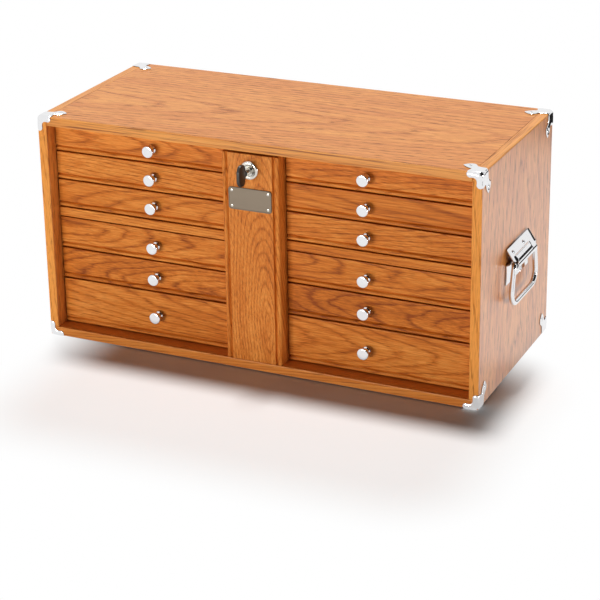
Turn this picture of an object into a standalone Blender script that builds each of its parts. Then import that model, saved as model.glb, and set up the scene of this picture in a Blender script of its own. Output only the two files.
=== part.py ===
"""Wooden tool chest: twelve drawers in two columns, a lock panel between them and chromed fittings.

Metres, +Z up.  The front looks along -Y, the origin lies under the middle of the whole object and the
chest stands on the undersides of its four lower corner brackets at z = 0.
"""
import math

import bmesh
import bpy
from mathutils import Matrix, Vector

# Case
CASE_W = 0.600
CASE_D = 0.267
CASE_H = 0.303
BOARD_T = 0.012
BACK_T = 0.008
SEAT_GAP = 0.0003

# Drawers, rows counted from the top
FRONT_RECESS = 0.020
FRONT_T = 0.011
ROW_GAP = 0.0014
FRONT_SIDE_CLEAR = 0.001
BOTTOM_FRONT_H = 0.0618
LOWER_FRONT_H = 0.0418
BEAD_H = 0.0055
BEAD_GROOVE_W = 0.0018
BEAD_GROOVE_DEPTH = 0.0015
BOX_WALL = 0.008
BOX_FLOOR_T = 0.004
BOX_TOP_DROP = 0.004
BOX_LIFT = 0.0012
BOX_SIDE_CLEAR = 0.001
BOX_BACK_CLEAR = 0.004
RUNNER_H = 0.006
RUNNER_OUT = 0.004
RUNNER_FIT = 0.0004
RUNNER_FRONT_CLEAR = 0.003

# Middle shelf and centre divider
SHELF_T = 0.012
SHELF_LAP = 0.055
DIVIDER_WALL = 0.009
STILE_T = 0.011
STILE_GAP = 0.0006

# Lock panel
PANEL_W = 0.077
PANEL_T = 0.017
PANEL_TOP_GAP = 0.0025
PANEL_BEAD_W = 0.0062
CLEAT_W = 0.036
CLEAT_H = 0.012
CLEAT_IN = 0.008
CLEAT_RISE = 0.030
CLEAT_FIT = 0.0004

# Knobs
KNOB_OFFSET = 0.146
KNOB_R = 0.0078
KNOB_HEAD_T = 0.0055
KNOB_NECK_R = 0.0036
KNOB_OUT = 0.0140

# Cam lock, key and name plate
LOCK_DROP = 0.0225
LOCK_FLANGE_R = 0.0122
LOCK_FLANGE_T = 0.0034
LOCK_BARREL_R = 0.0092
LOCK_HOLE_FIT = 0.0003
PLUG_R = 0.0066
PLUG_FIT = 0.00025
PLUG_SET_IN = 0.0008
TAIL_R = 0.0045
CAM_W = 0.0070
CAM_T = 0.0022
CAM_REACH = 0.0160
CAM_CLEAR = 0.0010
MORTISE_FIT = 0.0016
KEYWAY_DEPTH = 0.0150
KEYWAY_FIT = 0.0002
KEY_BLADE_T = 0.0020
KEY_BLADE_H = 0.0080
KEY_NECK = 0.0120
KEY_BOW_L = 0.0180
KEY_BOW_H = 0.0272
KEY_BOW_T = 0.0044
KEY_BOW_CUT = 0.0058
PLATE_W = 0.0585
PLATE_H = 0.0290
PLATE_T = 0.0012
PLATE_CORNER_R = 0.0038
PLATE_DROP = 0.0385

# Corner brackets
BRACKET_T = 0.0013
ARRIS_EASE = 0.0003
LOBE_REACH = 0.0180
LOBE_DEPTH = 0.0052
EAR_CENTRE = 0.0212
EAR_R = 0.0090
EAR_NECK = 0.0172

# Side handles
HANDLE_Z = 0.1545
HANDLE_SHEET_T = 0.0016
HANDLE_W = 0.0840
HOOD_RISE = 0.0155
BARREL_W = 0.0700
BARREL_WALL = 0.0017
PIVOT_OUT = 0.0105
PIVOT_FIT = 0.0004
HOOD_RELIEF = 0.0040
FLANGE_W = 0.0830
FLANGE_DROP = 0.0265
BAIL_R = 0.0034
BAIL_LEG_CLEAR = 0.0012
BAIL_STUB = 0.0150
BAIL_DROP = 0.0505
BAIL_FLARE = 0.0140
BAIL_ELBOW_R = 0.0045
BAIL_CORNER_R = 0.0110

# Derived places
FOOT = SEAT_GAP + BRACKET_T
KEY_OUT = LOCK_FLANGE_T - PLUG_SET_IN + KEY_NECK + KEY_BOW_L
Y_SHIFT = (KEY_OUT - FOOT) / 2
FRONT_Y = -CASE_D / 2 + Y_SHIFT
BACK_Y = CASE_D / 2 + Y_SHIFT
MID_Y = Y_SHIFT
SIDE_X = CASE_W / 2
INNER_X = SIDE_X - BOARD_T
BASE_Z = FOOT
TOP_Z = FOOT + CASE_H
FLOOR_Z = BASE_Z + BOARD_T
CEIL_Z = TOP_Z - BOARD_T
BACK_IN_Y = BACK_Y - BACK_T
FACE_Y = FRONT_Y + FRONT_RECESS
PANEL_BACK_Y = FRONT_Y + PANEL_T
STILE_Y = PANEL_BACK_Y + STILE_GAP
STILE_BACK_Y = STILE_Y + STILE_T
DIVIDER_X = PANEL_W / 2
LOCK_Z = CEIL_Z - LOCK_DROP
PLATE_Z = LOCK_Z - PLATE_DROP
PANEL_LOW_Z = FLOOR_Z + SEAT_GAP
PANEL_HIGH_Z = CEIL_Z - PANEL_TOP_GAP
PIVOT_Z = BASE_Z + HANDLE_Z

SHELF_LOW_Z = FLOOR_Z + BOTTOM_FRONT_H + 2 * LOWER_FRONT_H + 4 * ROW_GAP
SHELF_HIGH_Z = SHELF_LOW_Z + SHELF_T
UPPER_FRONT_H = (CEIL_Z - SHELF_HIGH_Z - 4 * ROW_GAP) / 3
LAP_Y = FACE_Y + SHELF_LAP

for old in list(bpy.data.objects):
    bpy.data.objects.remove(old, do_unlink=True)

chest = bpy.data.collections.new("tool chest")
bpy.context.scene.collection.children.link(chest)
cutters = bpy.data.collections.new("cutters")
bpy.context.scene.collection.children.link(cutters)


def material(name, colour, roughness, metallic):
    """A plain Principled material."""
    made = bpy.data.materials.new(name)
    made.use_nodes = True
    shader = made.node_tree.nodes["Principled BSDF"]
    shader.inputs["Base Color"].default_value = (*colour, 1.0)
    shader.inputs["Roughness"].default_value = roughness
    shader.inputs["Metallic"].default_value = metallic
    return made


OAK_TOP = material("oak top", (0.78, 0.36, 0.15), 0.35, 0.0)
OAK_CASE = material("oak case", (0.62, 0.25, 0.07), 0.38, 0.0)
OAK_SIDE = material("oak side", (0.66, 0.38, 0.22), 0.40, 0.0)
OAK_FRONT = material("oak drawer front", (0.55, 0.18, 0.035), 0.36, 0.0)
OAK_PANEL = material("oak lock panel", (0.54, 0.18, 0.04), 0.36, 0.0)
DRAWER_WOOD = material("pale drawer wood", (0.66, 0.48, 0.29), 0.55, 0.0)
CHROME = material("chrome", (0.80, 0.80, 0.80), 0.08, 1.0)
LOCK_METAL = material("nickel lock", (0.62, 0.62, 0.60), 0.16, 1.0)
PLATE_METAL = material("grey plate metal", (0.22, 0.19, 0.15), 0.38, 1.0)
KEY_BLACK = material("black key", (0.016, 0.012, 0.010), 0.38, 0.0)


def link(obj, mat=None, collection=None):
    """Put an object into a collection with its material; one without a material is a hidden cutter."""
    (collection or chest).objects.link(obj)
    if mat is not None:
        obj.data.materials.append(mat)
    else:
        obj.hide_render = True
        obj.display_type = "WIRE"
    return obj


def boxes(name, spans, mat=None):
    """One object holding a box for each (low corner, high corner), with its origin at the first box."""
    origin = (Vector(spans[0][0]) + Vector(spans[0][1])) / 2
    bm = bmesh.new()
    for low, high in spans:
        low, high = Vector(low), Vector(high)
        made = bmesh.ops.create_cube(bm, size=1.0)["verts"]
        bmesh.ops.scale(bm, vec=high - low, verts=made)
        bmesh.ops.translate(bm, vec=(low + high) / 2 - origin, verts=made)
    mesh = bpy.data.meshes.new(name)
    bm.to_mesh(mesh)
    bm.free()
    obj = bpy.data.objects.new(name, mesh)
    obj.location = origin
    return link(obj, mat, None if mat else cutters)


AXES = {
    "XY": Matrix.Identity(4),
    "YZ": Matrix(((0, 0, 1, 0), (1, 0, 0, 0), (0, 1, 0, 0), (0, 0, 0, 1))),
    "XZ": Matrix(((1, 0, 0, 0), (0, 0, -1, 0), (0, 1, 0, 0), (0, 0, 0, 1))),
}


def outline(name, plane, loops, low, high, mat=None, origin=(0.0, 0.0)):
    """A flat outline in a world plane, extruded between two places along that plane's normal.

    The first loop is the outside and any further loop is a hole.  The origin is the object's own
    origin in that plane.
    """
    curve = bpy.data.curves.new(name, "CURVE")
    curve.dimensions = "2D"
    curve.fill_mode = "BOTH"
    curve.extrude = (high - low) / 2
    for loop in loops:
        spline = curve.splines.new("POLY")
        spline.points.add(len(loop) - 1)
        for point, (a, b) in zip(spline.points, loop):
            point.co = (a - origin[0], b - origin[1], 0.0, 1.0)
        spline.use_cyclic_u = True
    drawn = bpy.data.objects.new(name, curve)
    chest.objects.link(drawn)
    middle = (low + high) / 2
    place = {
        "XY": (origin[0], origin[1], middle),
        "YZ": (middle, origin[0], origin[1]),
        "XZ": (origin[0], middle, origin[1]),
    }[plane]
    drawn.matrix_world = Matrix.Translation(place) @ AXES[plane]
    return as_mesh(drawn, mat)


def as_mesh(drawn, mat=None):
    """Replace a curve object by a mesh object with welded caps."""
    name = drawn.name
    bpy.context.view_layer.update()
    mesh = bpy.data.meshes.new_from_object(drawn.evaluated_get(bpy.context.evaluated_depsgraph_get()))
    bm = bmesh.new()
    bm.from_mesh(mesh)
    bmesh.ops.remove_doubles(bm, verts=bm.verts, dist=1e-6)
    bmesh.ops.recalc_face_normals(bm, faces=bm.faces)
    bm.to_mesh(mesh)
    bm.free()
    mesh.materials.clear()
    world = drawn.matrix_world.copy()
    bpy.data.objects.remove(drawn, do_unlink=True)
    obj = bpy.data.objects.new(name, mesh)
    obj.name = name
    obj.matrix_world = world
    return link(obj, mat, None if mat else cutters)


def turned(name, profile, steps, mat, closed=False):
    """A turned piece from a profile of (radius, height), drawn down its outer side from the top."""
    bm = bmesh.new()
    points = [bm.verts.new((r, 0.0, z)) for r, z in profile]
    for a, b in zip(points, points[1:] + ([points[0]] if closed else [])):
        if a is not b:
            bm.edges.new((a, b))
    mesh = bpy.data.meshes.new(name)
    bm.to_mesh(mesh)
    bm.free()
    obj = bpy.data.objects.new(name, mesh)
    screw = obj.modifiers.new("turn", "SCREW")
    screw.axis = "Z"
    screw.steps = steps
    screw.render_steps = steps
    screw.use_merge_vertices = True
    screw.merge_threshold = 1e-5
    screw.use_smooth_shade = True
    return link(obj, mat, None if mat else cutters)


def combine(obj, other, operation):
    """Add a Boolean modifier to an object."""
    step = obj.modifiers.new(operation.lower(), "BOOLEAN")
    step.operation = operation
    step.solver = "EXACT"
    step.object = other
    return obj


def cut(obj, other):
    """Cut one object out of another."""
    return combine(obj, other, "DIFFERENCE")


def join(obj, other):
    """Join one object to another."""
    return combine(obj, other, "UNION")


def empty(name, place):
    """An empty that carries the pieces of one moving body."""
    made = bpy.data.objects.new(name, None)
    made.location = place
    made.empty_display_size = 0.02
    chest.objects.link(made)
    return made


def adopt(parent, *children):
    """Parent objects to an empty and leave them where they are."""
    for child in children:
        child.parent = parent
        child.matrix_parent_inverse = Matrix.Translation(-parent.location)


def arc(centre, radius, start, end, count):
    """Points along an arc, angles in degrees."""
    made = []
    for i in range(count):
        turn = math.radians(start + (end - start) * i / (count - 1))
        made.append((centre[0] + radius * math.cos(turn), centre[1] + radius * math.sin(turn)))
    return made


def rounded_path(points, radii, count):
    """A path through points whose inner corners are rounded to the given radii."""
    made = [Vector(points[0])]
    for before, here, after, radius in zip(points, points[1:], points[2:], radii):
        a = (Vector(before) - Vector(here)).normalized()
        b = (Vector(after) - Vector(here)).normalized()
        half = a.angle(b) / 2
        centre = Vector(here) + (a + b).normalized() * (radius / math.sin(half))
        first = Vector(here) + a * (radius / math.tan(half)) - centre
        last = Vector(here) + b * (radius / math.tan(half)) - centre
        sweep = math.atan2(first.x * last.y - first.y * last.x, first.dot(last))
        for i in range(count):
            turn = sweep * i / (count - 1)
            made.append(centre + Matrix.Rotation(turn, 2) @ first)
    made.append(Vector(points[-1]))
    return made


def strip(path, thickness):
    """The closed outline of a bent sheet whose middle follows a path."""
    path = [Vector(p) for p in path]
    left, right = [], []
    for i, here in enumerate(path):
        before = path[max(i - 1, 0)]
        after = path[min(i + 1, len(path) - 1)]
        along = (after - before).normalized()
        side = Vector((-along.y, along.x)) * thickness / 2
        left.append(tuple(here + side))
        right.append(tuple(here - side))
    return left + right[::-1]


# Drawer rows from the bottom up: the foot of each front and its height
heights = [BOTTOM_FRONT_H, LOWER_FRONT_H, LOWER_FRONT_H, UPPER_FRONT_H, UPPER_FRONT_H, UPPER_FRONT_H]
rows = []
foot = FLOOR_Z + ROW_GAP
for index, height in enumerate(heights):
    rows.append((foot, height))
    foot += height + ROW_GAP
    if index == 2:
        foot = SHELF_HIGH_Z + ROW_GAP
rows.reverse()


def box_span(row):
    """The foot and the top of a drawer's box."""
    low, tall = row
    return low + BOX_LIFT, low + tall - BOX_TOP_DROP


def runner_span(row):
    """The foot and the top of the runners that carry a drawer's box."""
    low, high = box_span(row)
    middle = (low + high) / 2
    return middle - RUNNER_H / 2, middle + RUNNER_H / 2


BOX_FRONT_Y = FACE_Y + FRONT_T + SEAT_GAP
BOX_BACK_Y = BACK_IN_Y - BOX_BACK_CLEAR
RUNNER_FRONT_Y = BOX_FRONT_Y + RUNNER_FRONT_CLEAR
RUNNER_ROOT = BOARD_T / 4

# Case boards
boxes("bottom_panel", [((-SIDE_X, FRONT_Y, BASE_Z), (SIDE_X, BACK_Y, FLOOR_Z))], OAK_CASE)
boxes(
    "top_panel",
    [((-INNER_X + SEAT_GAP, FRONT_Y, CEIL_Z), (INNER_X - SEAT_GAP, BACK_Y, TOP_Z))],
    OAK_TOP,
)
boxes(
    "back_panel",
    [
        (
            (-INNER_X + SEAT_GAP, BACK_IN_Y, FLOOR_Z + SEAT_GAP),
            (INNER_X - SEAT_GAP, BACK_Y, CEIL_Z - SEAT_GAP),
        )
    ],
    OAK_CASE,
)
for name, sign in (("left", -1), ("right", 1)):
    xs = sorted((sign * INNER_X, sign * SIDE_X))
    side = boxes(
        f"{name}_side_panel",
        [((xs[0], FRONT_Y, FLOOR_Z + SEAT_GAP), (xs[1], BACK_Y, TOP_Z))],
        OAK_SIDE,
    )
    rx = sorted((sign * (INNER_X - RUNNER_OUT), sign * (INNER_X + RUNNER_ROOT)))
    ribs = boxes(
        f"{name} runners",
        [
            ((rx[0], RUNNER_FRONT_Y, runner_span(row)[0]), (rx[1], BOX_BACK_Y, runner_span(row)[1]))
            for row in rows
        ],
    )
    join(side, ribs)

# Middle shelf: one board, notched at its front to lap over the divider
shelf_x = INNER_X - SEAT_GAP
notch_x = DIVIDER_X + SEAT_GAP
outline(
    "mid_shelf",
    "XY",
    [
        [
            (-shelf_x, FACE_Y),
            (-notch_x, FACE_Y),
            (-notch_x, LAP_Y),
            (notch_x, LAP_Y),
            (notch_x, FACE_Y),
            (shelf_x, FACE_Y),
            (shelf_x, BACK_IN_Y - SEAT_GAP),
            (-shelf_x, BACK_IN_Y - SEAT_GAP),
        ]
    ],
    SHELF_LOW_Z,
    SHELF_HIGH_Z,
    OAK_FRONT,
)

# Centre divider: two walls and a front stile, with runners, a lap for the shelf and two mortises
wall_in_x = DIVIDER_X - DIVIDER_WALL
divider = outline(
    "centre_divider",
    "XY",
    [
        [
            (-DIVIDER_X, STILE_Y),
            (DIVIDER_X, STILE_Y),
            (DIVIDER_X, BACK_IN_Y - SEAT_GAP),
            (wall_in_x, BACK_IN_Y - SEAT_GAP),
            (wall_in_x, STILE_BACK_Y),
            (-wall_in_x, STILE_BACK_Y),
            (-wall_in_x, BACK_IN_Y - SEAT_GAP),
            (-DIVIDER_X, BACK_IN_Y - SEAT_GAP),
        ]
    ],
    FLOOR_Z + SEAT_GAP,
    CEIL_Z - SEAT_GAP,
    OAK_CASE,
)
divider_root = DIVIDER_WALL / 3
for sign in (-1, 1):
    rx = sorted((sign * (DIVIDER_X - divider_root), sign * (DIVIDER_X + RUNNER_OUT)))
    ribs = boxes(
        "divider runners",
        [
            ((rx[0], RUNNER_FRONT_Y, runner_span(row)[0]), (rx[1], BOX_BACK_Y, runner_span(row)[1]))
            for row in rows
        ],
    )
    join(divider, ribs)
lap = boxes(
    "shelf lap",
    [
        (
            (-DIVIDER_X - RUNNER_OUT, LAP_Y - SEAT_GAP, SHELF_LOW_Z - SEAT_GAP),
            (DIVIDER_X + RUNNER_OUT, BACK_Y, SHELF_HIGH_Z + SEAT_GAP),
        )
    ],
)
cut(divider, lap)
cam_half = max(CAM_W / 2, TAIL_R) + MORTISE_FIT
cam_mortise = boxes(
    "cam mortise",
    [
        (
            (-cam_half, STILE_Y - STILE_T, LOCK_Z - CAM_REACH - MORTISE_FIT),
            (cam_half, STILE_BACK_Y + STILE_T, LOCK_Z + max(CAM_W / 2, TAIL_R) + MORTISE_FIT),
        )
    ],
)
cut(divider, cam_mortise)
cleat_low_z = PANEL_LOW_Z + CLEAT_RISE
cleat_high_z = cleat_low_z + CLEAT_H
cleat_mortise = boxes(
    "cleat mortise",
    [
        (
            (-CLEAT_W / 2 - CLEAT_FIT, STILE_Y - STILE_T, cleat_low_z - CLEAT_FIT),
            (CLEAT_W / 2 + CLEAT_FIT, STILE_BACK_Y + STILE_T, cleat_high_z + CLEAT_FIT),
        )
    ],
)
cut(divider, cleat_mortise)

# Drawers
KNOB_PROFILE = [
    (0.0, KNOB_OUT),
    (KNOB_R * 0.80, KNOB_OUT),
    (KNOB_R * 0.96, KNOB_OUT - KNOB_HEAD_T * 0.14),
    (KNOB_R, KNOB_OUT - KNOB_HEAD_T * 0.34),
    (KNOB_R * 0.94, KNOB_OUT - KNOB_HEAD_T * 0.62),
    (KNOB_NECK_R * 1.25, KNOB_OUT - KNOB_HEAD_T),
    (KNOB_NECK_R, KNOB_OUT - KNOB_HEAD_T * 1.30),
    (KNOB_NECK_R * 1.30, SEAT_GAP),
    (0.0, SEAT_GAP),
]
for column, sign in (("left", -1), ("right", 1)):
    for number, row in enumerate(rows, start=1):
        tag = f"{column}_drawer_{number}"
        low, tall = row
        body = empty(tag, (sign * KNOB_OFFSET, FACE_Y, low + tall / 2))
        groove = low + BEAD_H
        near_x = DIVIDER_X + FRONT_SIDE_CLEAR
        far_x = INNER_X - FRONT_SIDE_CLEAR
        xs = sorted((sign * near_x, sign * far_x))
        front = outline(
            f"{tag}_front",
            "YZ",
            [
                [
                    (FACE_Y, low),
                    (FACE_Y + FRONT_T, low),
                    (FACE_Y + FRONT_T, low + tall),
                    (FACE_Y, low + tall),
                    (FACE_Y, groove + BEAD_GROOVE_W / 2),
                    (FACE_Y + BEAD_GROOVE_DEPTH, groove),
                    (FACE_Y, groove - BEAD_GROOVE_W / 2),
                ]
            ],
            xs[0],
            xs[1],
            OAK_FRONT,
            (FACE_Y, low),
        )
        knob = turned(f"{tag}_knob", KNOB_PROFILE, 16, CHROME)
        knob.location = (sign * KNOB_OFFSET, FACE_Y, low + tall / 2)
        knob.rotation_euler = (math.pi / 2, 0.0, 0.0)
        box_low, box_high = box_span(row)
        run_low, run_high = runner_span(row)
        bx = sorted((sign * (DIVIDER_X + BOX_SIDE_CLEAR), sign * (INNER_X - BOX_SIDE_CLEAR)))
        box = boxes(
            f"{tag}_box", [((bx[0], BOX_FRONT_Y, box_low), (bx[1], BOX_BACK_Y, box_high))], DRAWER_WOOD
        )
        hollow = boxes(
            f"{tag} hollow",
            [
                (
                    (bx[0] + BOX_WALL, BOX_FRONT_Y + BOX_WALL, box_low + BOX_FLOOR_T),
                    (bx[1] - BOX_WALL, BOX_BACK_Y - BOX_WALL, box_high + BOX_WALL),
                )
            ],
        )
        cut(box, hollow)
        groove_in = RUNNER_OUT - BOX_SIDE_CLEAR + RUNNER_FIT
        grooves = boxes(
            f"{tag} grooves",
            [
                (
                    (bx[0] - BOX_WALL, BOX_FRONT_Y - BOX_WALL, run_low - RUNNER_FIT),
                    (bx[0] + groove_in, BOX_BACK_Y + BOX_WALL, run_high + RUNNER_FIT),
                ),
                (
                    (bx[1] - groove_in, BOX_FRONT_Y - BOX_WALL, run_low - RUNNER_FIT),
                    (bx[1] + BOX_WALL, BOX_BACK_Y + BOX_WALL, run_high + RUNNER_FIT),
                ),
            ],
        )
        cut(box, grooves)
        bpy.context.view_layer.update()
        adopt(body, front, knob, box)

# Lock panel with a bead down each long edge, a hole for the lock and a locating cleat
bead = DIVIDER_X - PANEL_BEAD_W
half_groove = BEAD_GROOVE_W / 2
panel = outline(
    "lock_panel",
    "XY",
    [
        [
            (-DIVIDER_X, FRONT_Y),
            (-bead - half_groove, FRONT_Y),
            (-bead, FRONT_Y + BEAD_GROOVE_DEPTH),
            (-bead + half_groove, FRONT_Y),
            (bead - half_groove, FRONT_Y),
            (bead, FRONT_Y + BEAD_GROOVE_DEPTH),
            (bead + half_groove, FRONT_Y),
            (DIVIDER_X, FRONT_Y),
            (DIVIDER_X, PANEL_BACK_Y),
            (-DIVIDER_X, PANEL_BACK_Y),
        ]
    ],
    PANEL_LOW_Z,
    PANEL_HIGH_Z,
    OAK_PANEL,
    (0.0, FRONT_Y),
)
lock_hole = turned(
    "lock hole",
    [
        (0.0, PANEL_T * 2),
        (LOCK_BARREL_R + LOCK_HOLE_FIT, PANEL_T * 2),
        (LOCK_BARREL_R + LOCK_HOLE_FIT, -PANEL_T * 2),
        (0.0, -PANEL_T * 2),
    ],
    32,
    None,
)
lock_hole.location = (0.0, FRONT_Y, LOCK_Z)
lock_hole.rotation_euler = (math.pi / 2, 0.0, 0.0)
cut(panel, lock_hole)
cleat = boxes(
    "cleat",
    [
        (
            (-CLEAT_W / 2, PANEL_BACK_Y - PANEL_T / 4, cleat_low_z),
            (CLEAT_W / 2, STILE_Y + CLEAT_IN, cleat_high_z),
        )
    ],
)
join(panel, cleat)

# Name plate, left bare
px = PLATE_W / 2 - PLATE_CORNER_R
pz = PLATE_H / 2 - PLATE_CORNER_R
plate = outline(
    "name_plate",
    "XZ",
    [
        arc((px, PLATE_Z + pz), PLATE_CORNER_R, 0, 90, 5)
        + arc((-px, PLATE_Z + pz), PLATE_CORNER_R, 90, 180, 5)
        + arc((-px, PLATE_Z - pz), PLATE_CORNER_R, 180, 270, 5)
        + arc((px, PLATE_Z - pz), PLATE_CORNER_R, 270, 360, 5)
    ],
    FRONT_Y - SEAT_GAP - PLATE_T,
    FRONT_Y - SEAT_GAP,
    PLATE_METAL,
    (0.0, PLATE_Z),
)

# Cam lock: heights run out of the panel's face, towards -Y
bore_r = PLUG_R + PLUG_FIT
lock_body = turned(
    "lock_body",
    [
        (bore_r, LOCK_FLANGE_T * 0.72),
        (bore_r + (LOCK_FLANGE_R - bore_r) * 0.30, LOCK_FLANGE_T),
        (LOCK_FLANGE_R * 0.90, LOCK_FLANGE_T),
        (LOCK_FLANGE_R, LOCK_FLANGE_T * 0.55),
        (LOCK_FLANGE_R, SEAT_GAP),
        (LOCK_BARREL_R, SEAT_GAP),
        (LOCK_BARREL_R, -PANEL_T),
        (bore_r, -PANEL_T),
    ],
    32,
    LOCK_METAL,
    closed=True,
)
lock_body.location = (0.0, FRONT_Y, LOCK_Z)
lock_body.rotation_euler = (math.pi / 2, 0.0, 0.0)

plug_face = LOCK_FLANGE_T - PLUG_SET_IN
cam_front = -(PANEL_T + STILE_GAP + STILE_T + CAM_CLEAR)
plug = turned(
    "lock_plug",
    [
        (0.0, plug_face),
        (PLUG_R, plug_face),
        (PLUG_R, -PANEL_T),
        (TAIL_R, -PANEL_T),
        (TAIL_R, cam_front - CAM_T),
        (0.0, cam_front - CAM_T),
    ],
    32,
    LOCK_METAL,
)
plug.location = (0.0, FRONT_Y, LOCK_Z)
plug.rotation_euler = (math.pi / 2, 0.0, 0.0)
cam = boxes(
    "cam",
    [
        (
            (-CAM_W / 2, FRONT_Y - cam_front, LOCK_Z - CAM_REACH),
            (CAM_W / 2, FRONT_Y - cam_front + CAM_T, LOCK_Z + CAM_W / 2),
        )
    ],
)
join(plug, cam)
keyway = boxes(
    "keyway",
    [
        (
            (
                -KEY_BLADE_T / 2 - KEYWAY_FIT,
                FRONT_Y - plug_face - KEY_NECK / 2,
                LOCK_Z - KEY_BLADE_H / 2 - KEYWAY_FIT,
            ),
            (
                KEY_BLADE_T / 2 + KEYWAY_FIT,
                FRONT_Y - plug_face + KEYWAY_DEPTH,
                LOCK_Z + KEY_BLADE_H / 2 + KEYWAY_FIT,
            ),
        )
    ],
)
cut(plug, keyway)

# Key: a flat black bow on a blade
bow_back = FRONT_Y - plug_face - KEY_NECK
bow_front = bow_back - KEY_BOW_L
half_bow = KEY_BOW_H / 2
key = outline(
    "key",
    "YZ",
    [
        [
            (bow_front, LOCK_Z - half_bow + KEY_BOW_CUT),
            (bow_front + KEY_BOW_CUT, LOCK_Z - half_bow),
            (bow_back - KEY_BOW_CUT, LOCK_Z - half_bow),
            (bow_back, LOCK_Z - half_bow + KEY_BOW_CUT),
            (bow_back, LOCK_Z + half_bow - KEY_BOW_CUT),
            (bow_back - KEY_BOW_CUT, LOCK_Z + half_bow),
            (bow_front + KEY_BOW_CUT, LOCK_Z + half_bow),
            (bow_front, LOCK_Z + half_bow - KEY_BOW_CUT),
        ]
    ],
    -KEY_BOW_T / 2,
    KEY_BOW_T / 2,
    KEY_BLACK,
    (FRONT_Y, LOCK_Z),
)
blade = boxes(
    "blade",
    [
        (
            (-KEY_BLADE_T / 2, bow_back - KEY_BOW_L / 3, LOCK_Z - KEY_BLADE_H / 2),
            (KEY_BLADE_T / 2, FRONT_Y - plug_face + KEYWAY_DEPTH - SEAT_GAP, LOCK_Z + KEY_BLADE_H / 2),
        )
    ],
)
join(key, blade)
bpy.context.view_layer.update()
adopt(empty("lock_panel_mover", (0.0, FRONT_Y, PANEL_LOW_Z)), panel, plate, lock_body)

# Corner brackets: an ear with a screw on two faces and a scalloped flange on the third
edge = SEAT_GAP + BRACKET_T
reach = edge - ARRIS_EASE
ear = (
    [(-reach, -reach), (LOBE_REACH, -reach), (LOBE_REACH, LOBE_DEPTH), (EAR_NECK, EAR_NECK * 0.58)]
    + arc((EAR_CENTRE, EAR_CENTRE), EAR_R, -70, 160, 10)
    + [(EAR_NECK * 0.58, EAR_NECK), (LOBE_DEPTH, LOBE_REACH), (-reach, LOBE_REACH)]
)
scallop = [
    (-reach, -reach),
    (LOBE_REACH - LOBE_DEPTH * 0.2, -reach),
    (LOBE_REACH, LOBE_DEPTH * 0.1),
    (LOBE_REACH * 0.82, LOBE_DEPTH),
    (LOBE_REACH * 0.54, LOBE_DEPTH),
    (LOBE_DEPTH * 1.35, LOBE_DEPTH * 1.35),
    (LOBE_DEPTH, LOBE_REACH * 0.54),
    (LOBE_DEPTH, LOBE_REACH * 0.82),
    (LOBE_DEPTH * 0.1, LOBE_REACH),
    (-reach, LOBE_REACH - LOBE_DEPTH * 0.2),
]
for end, sy, corner_y in (("front", -1, FRONT_Y), ("back", 1, BACK_Y)):
    for level, sz, corner_z in (("lower", -1, BASE_Z), ("upper", 1, TOP_Z)):
        for hand, sx, corner_x in (("left", -1, -SIDE_X), ("right", 1, SIDE_X)):
            zs = sorted((corner_z + sz * SEAT_GAP, corner_z + sz * edge))
            xs = sorted((corner_x + sx * SEAT_GAP, corner_x + sx * edge))
            ys = sorted((corner_y + sy * SEAT_GAP, corner_y + sy * edge))
            bracket = outline(
                f"{end}_{level}_{hand}_bracket",
                "XY",
                [[(corner_x - sx * u, corner_y - sy * v) for u, v in ear]],
                zs[0],
                zs[1],
                CHROME,
                (corner_x, corner_y),
            )
            side_flange = outline(
                "side flange",
                "YZ",
                [[(corner_y - sy * u, corner_z - sz * v) for u, v in ear]],
                xs[0],
                xs[1],
            )
            end_flange = outline(
                "end flange",
                "XZ",
                [[(corner_x - sx * u, corner_z - sz * v) for u, v in scallop]],
                ys[0],
                ys[1],
            )
            join(bracket, side_flange)
            join(bracket, end_flange)

# Side handles: a bent sheet bracket with a barrel, and a bail that hangs from it
bore = BAIL_R + PIVOT_FIT
BARREL_R = bore + BARREL_WALL
wall = -PIVOT_OUT
sheet = HANDLE_SHEET_T
slope = Vector((PIVOT_OUT - SEAT_GAP, -HOOD_RISE)).normalized()
normal = Vector((-slope.y, slope.x))
hood_end = normal * (BARREL_R - sheet / 2)
hood_run = (PIVOT_OUT - SEAT_GAP - sheet * normal.x + hood_end.x) / slope.x
hood_start = hood_end - slope * hood_run
hood_stop = hood_end - slope * HOOD_RELIEF
mid_wall = -(bore + BARREL_R) / 2
crook_r = (mid_wall - wall - SEAT_GAP - sheet / 2) / 2
crook = (
    [(wall + SEAT_GAP + sheet / 2, -FLANGE_DROP)]
    + arc((mid_wall - crook_r, 0.0), crook_r, 180, 0, 9)
    + [(mid_wall, -sheet / 2)]
)
leg_y = BARREL_W / 2 + BAIL_LEG_CLEAR + BAIL_R
bail_low = -BAIL_DROP
path = [
    (-(BARREL_W / 2 - BAIL_STUB), 0.0),
    (-leg_y, 0.0),
    (-leg_y - BAIL_FLARE, bail_low),
    (leg_y + BAIL_FLARE, bail_low),
    (leg_y, 0.0),
    (BARREL_W / 2 - BAIL_STUB, 0.0),
]
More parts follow.
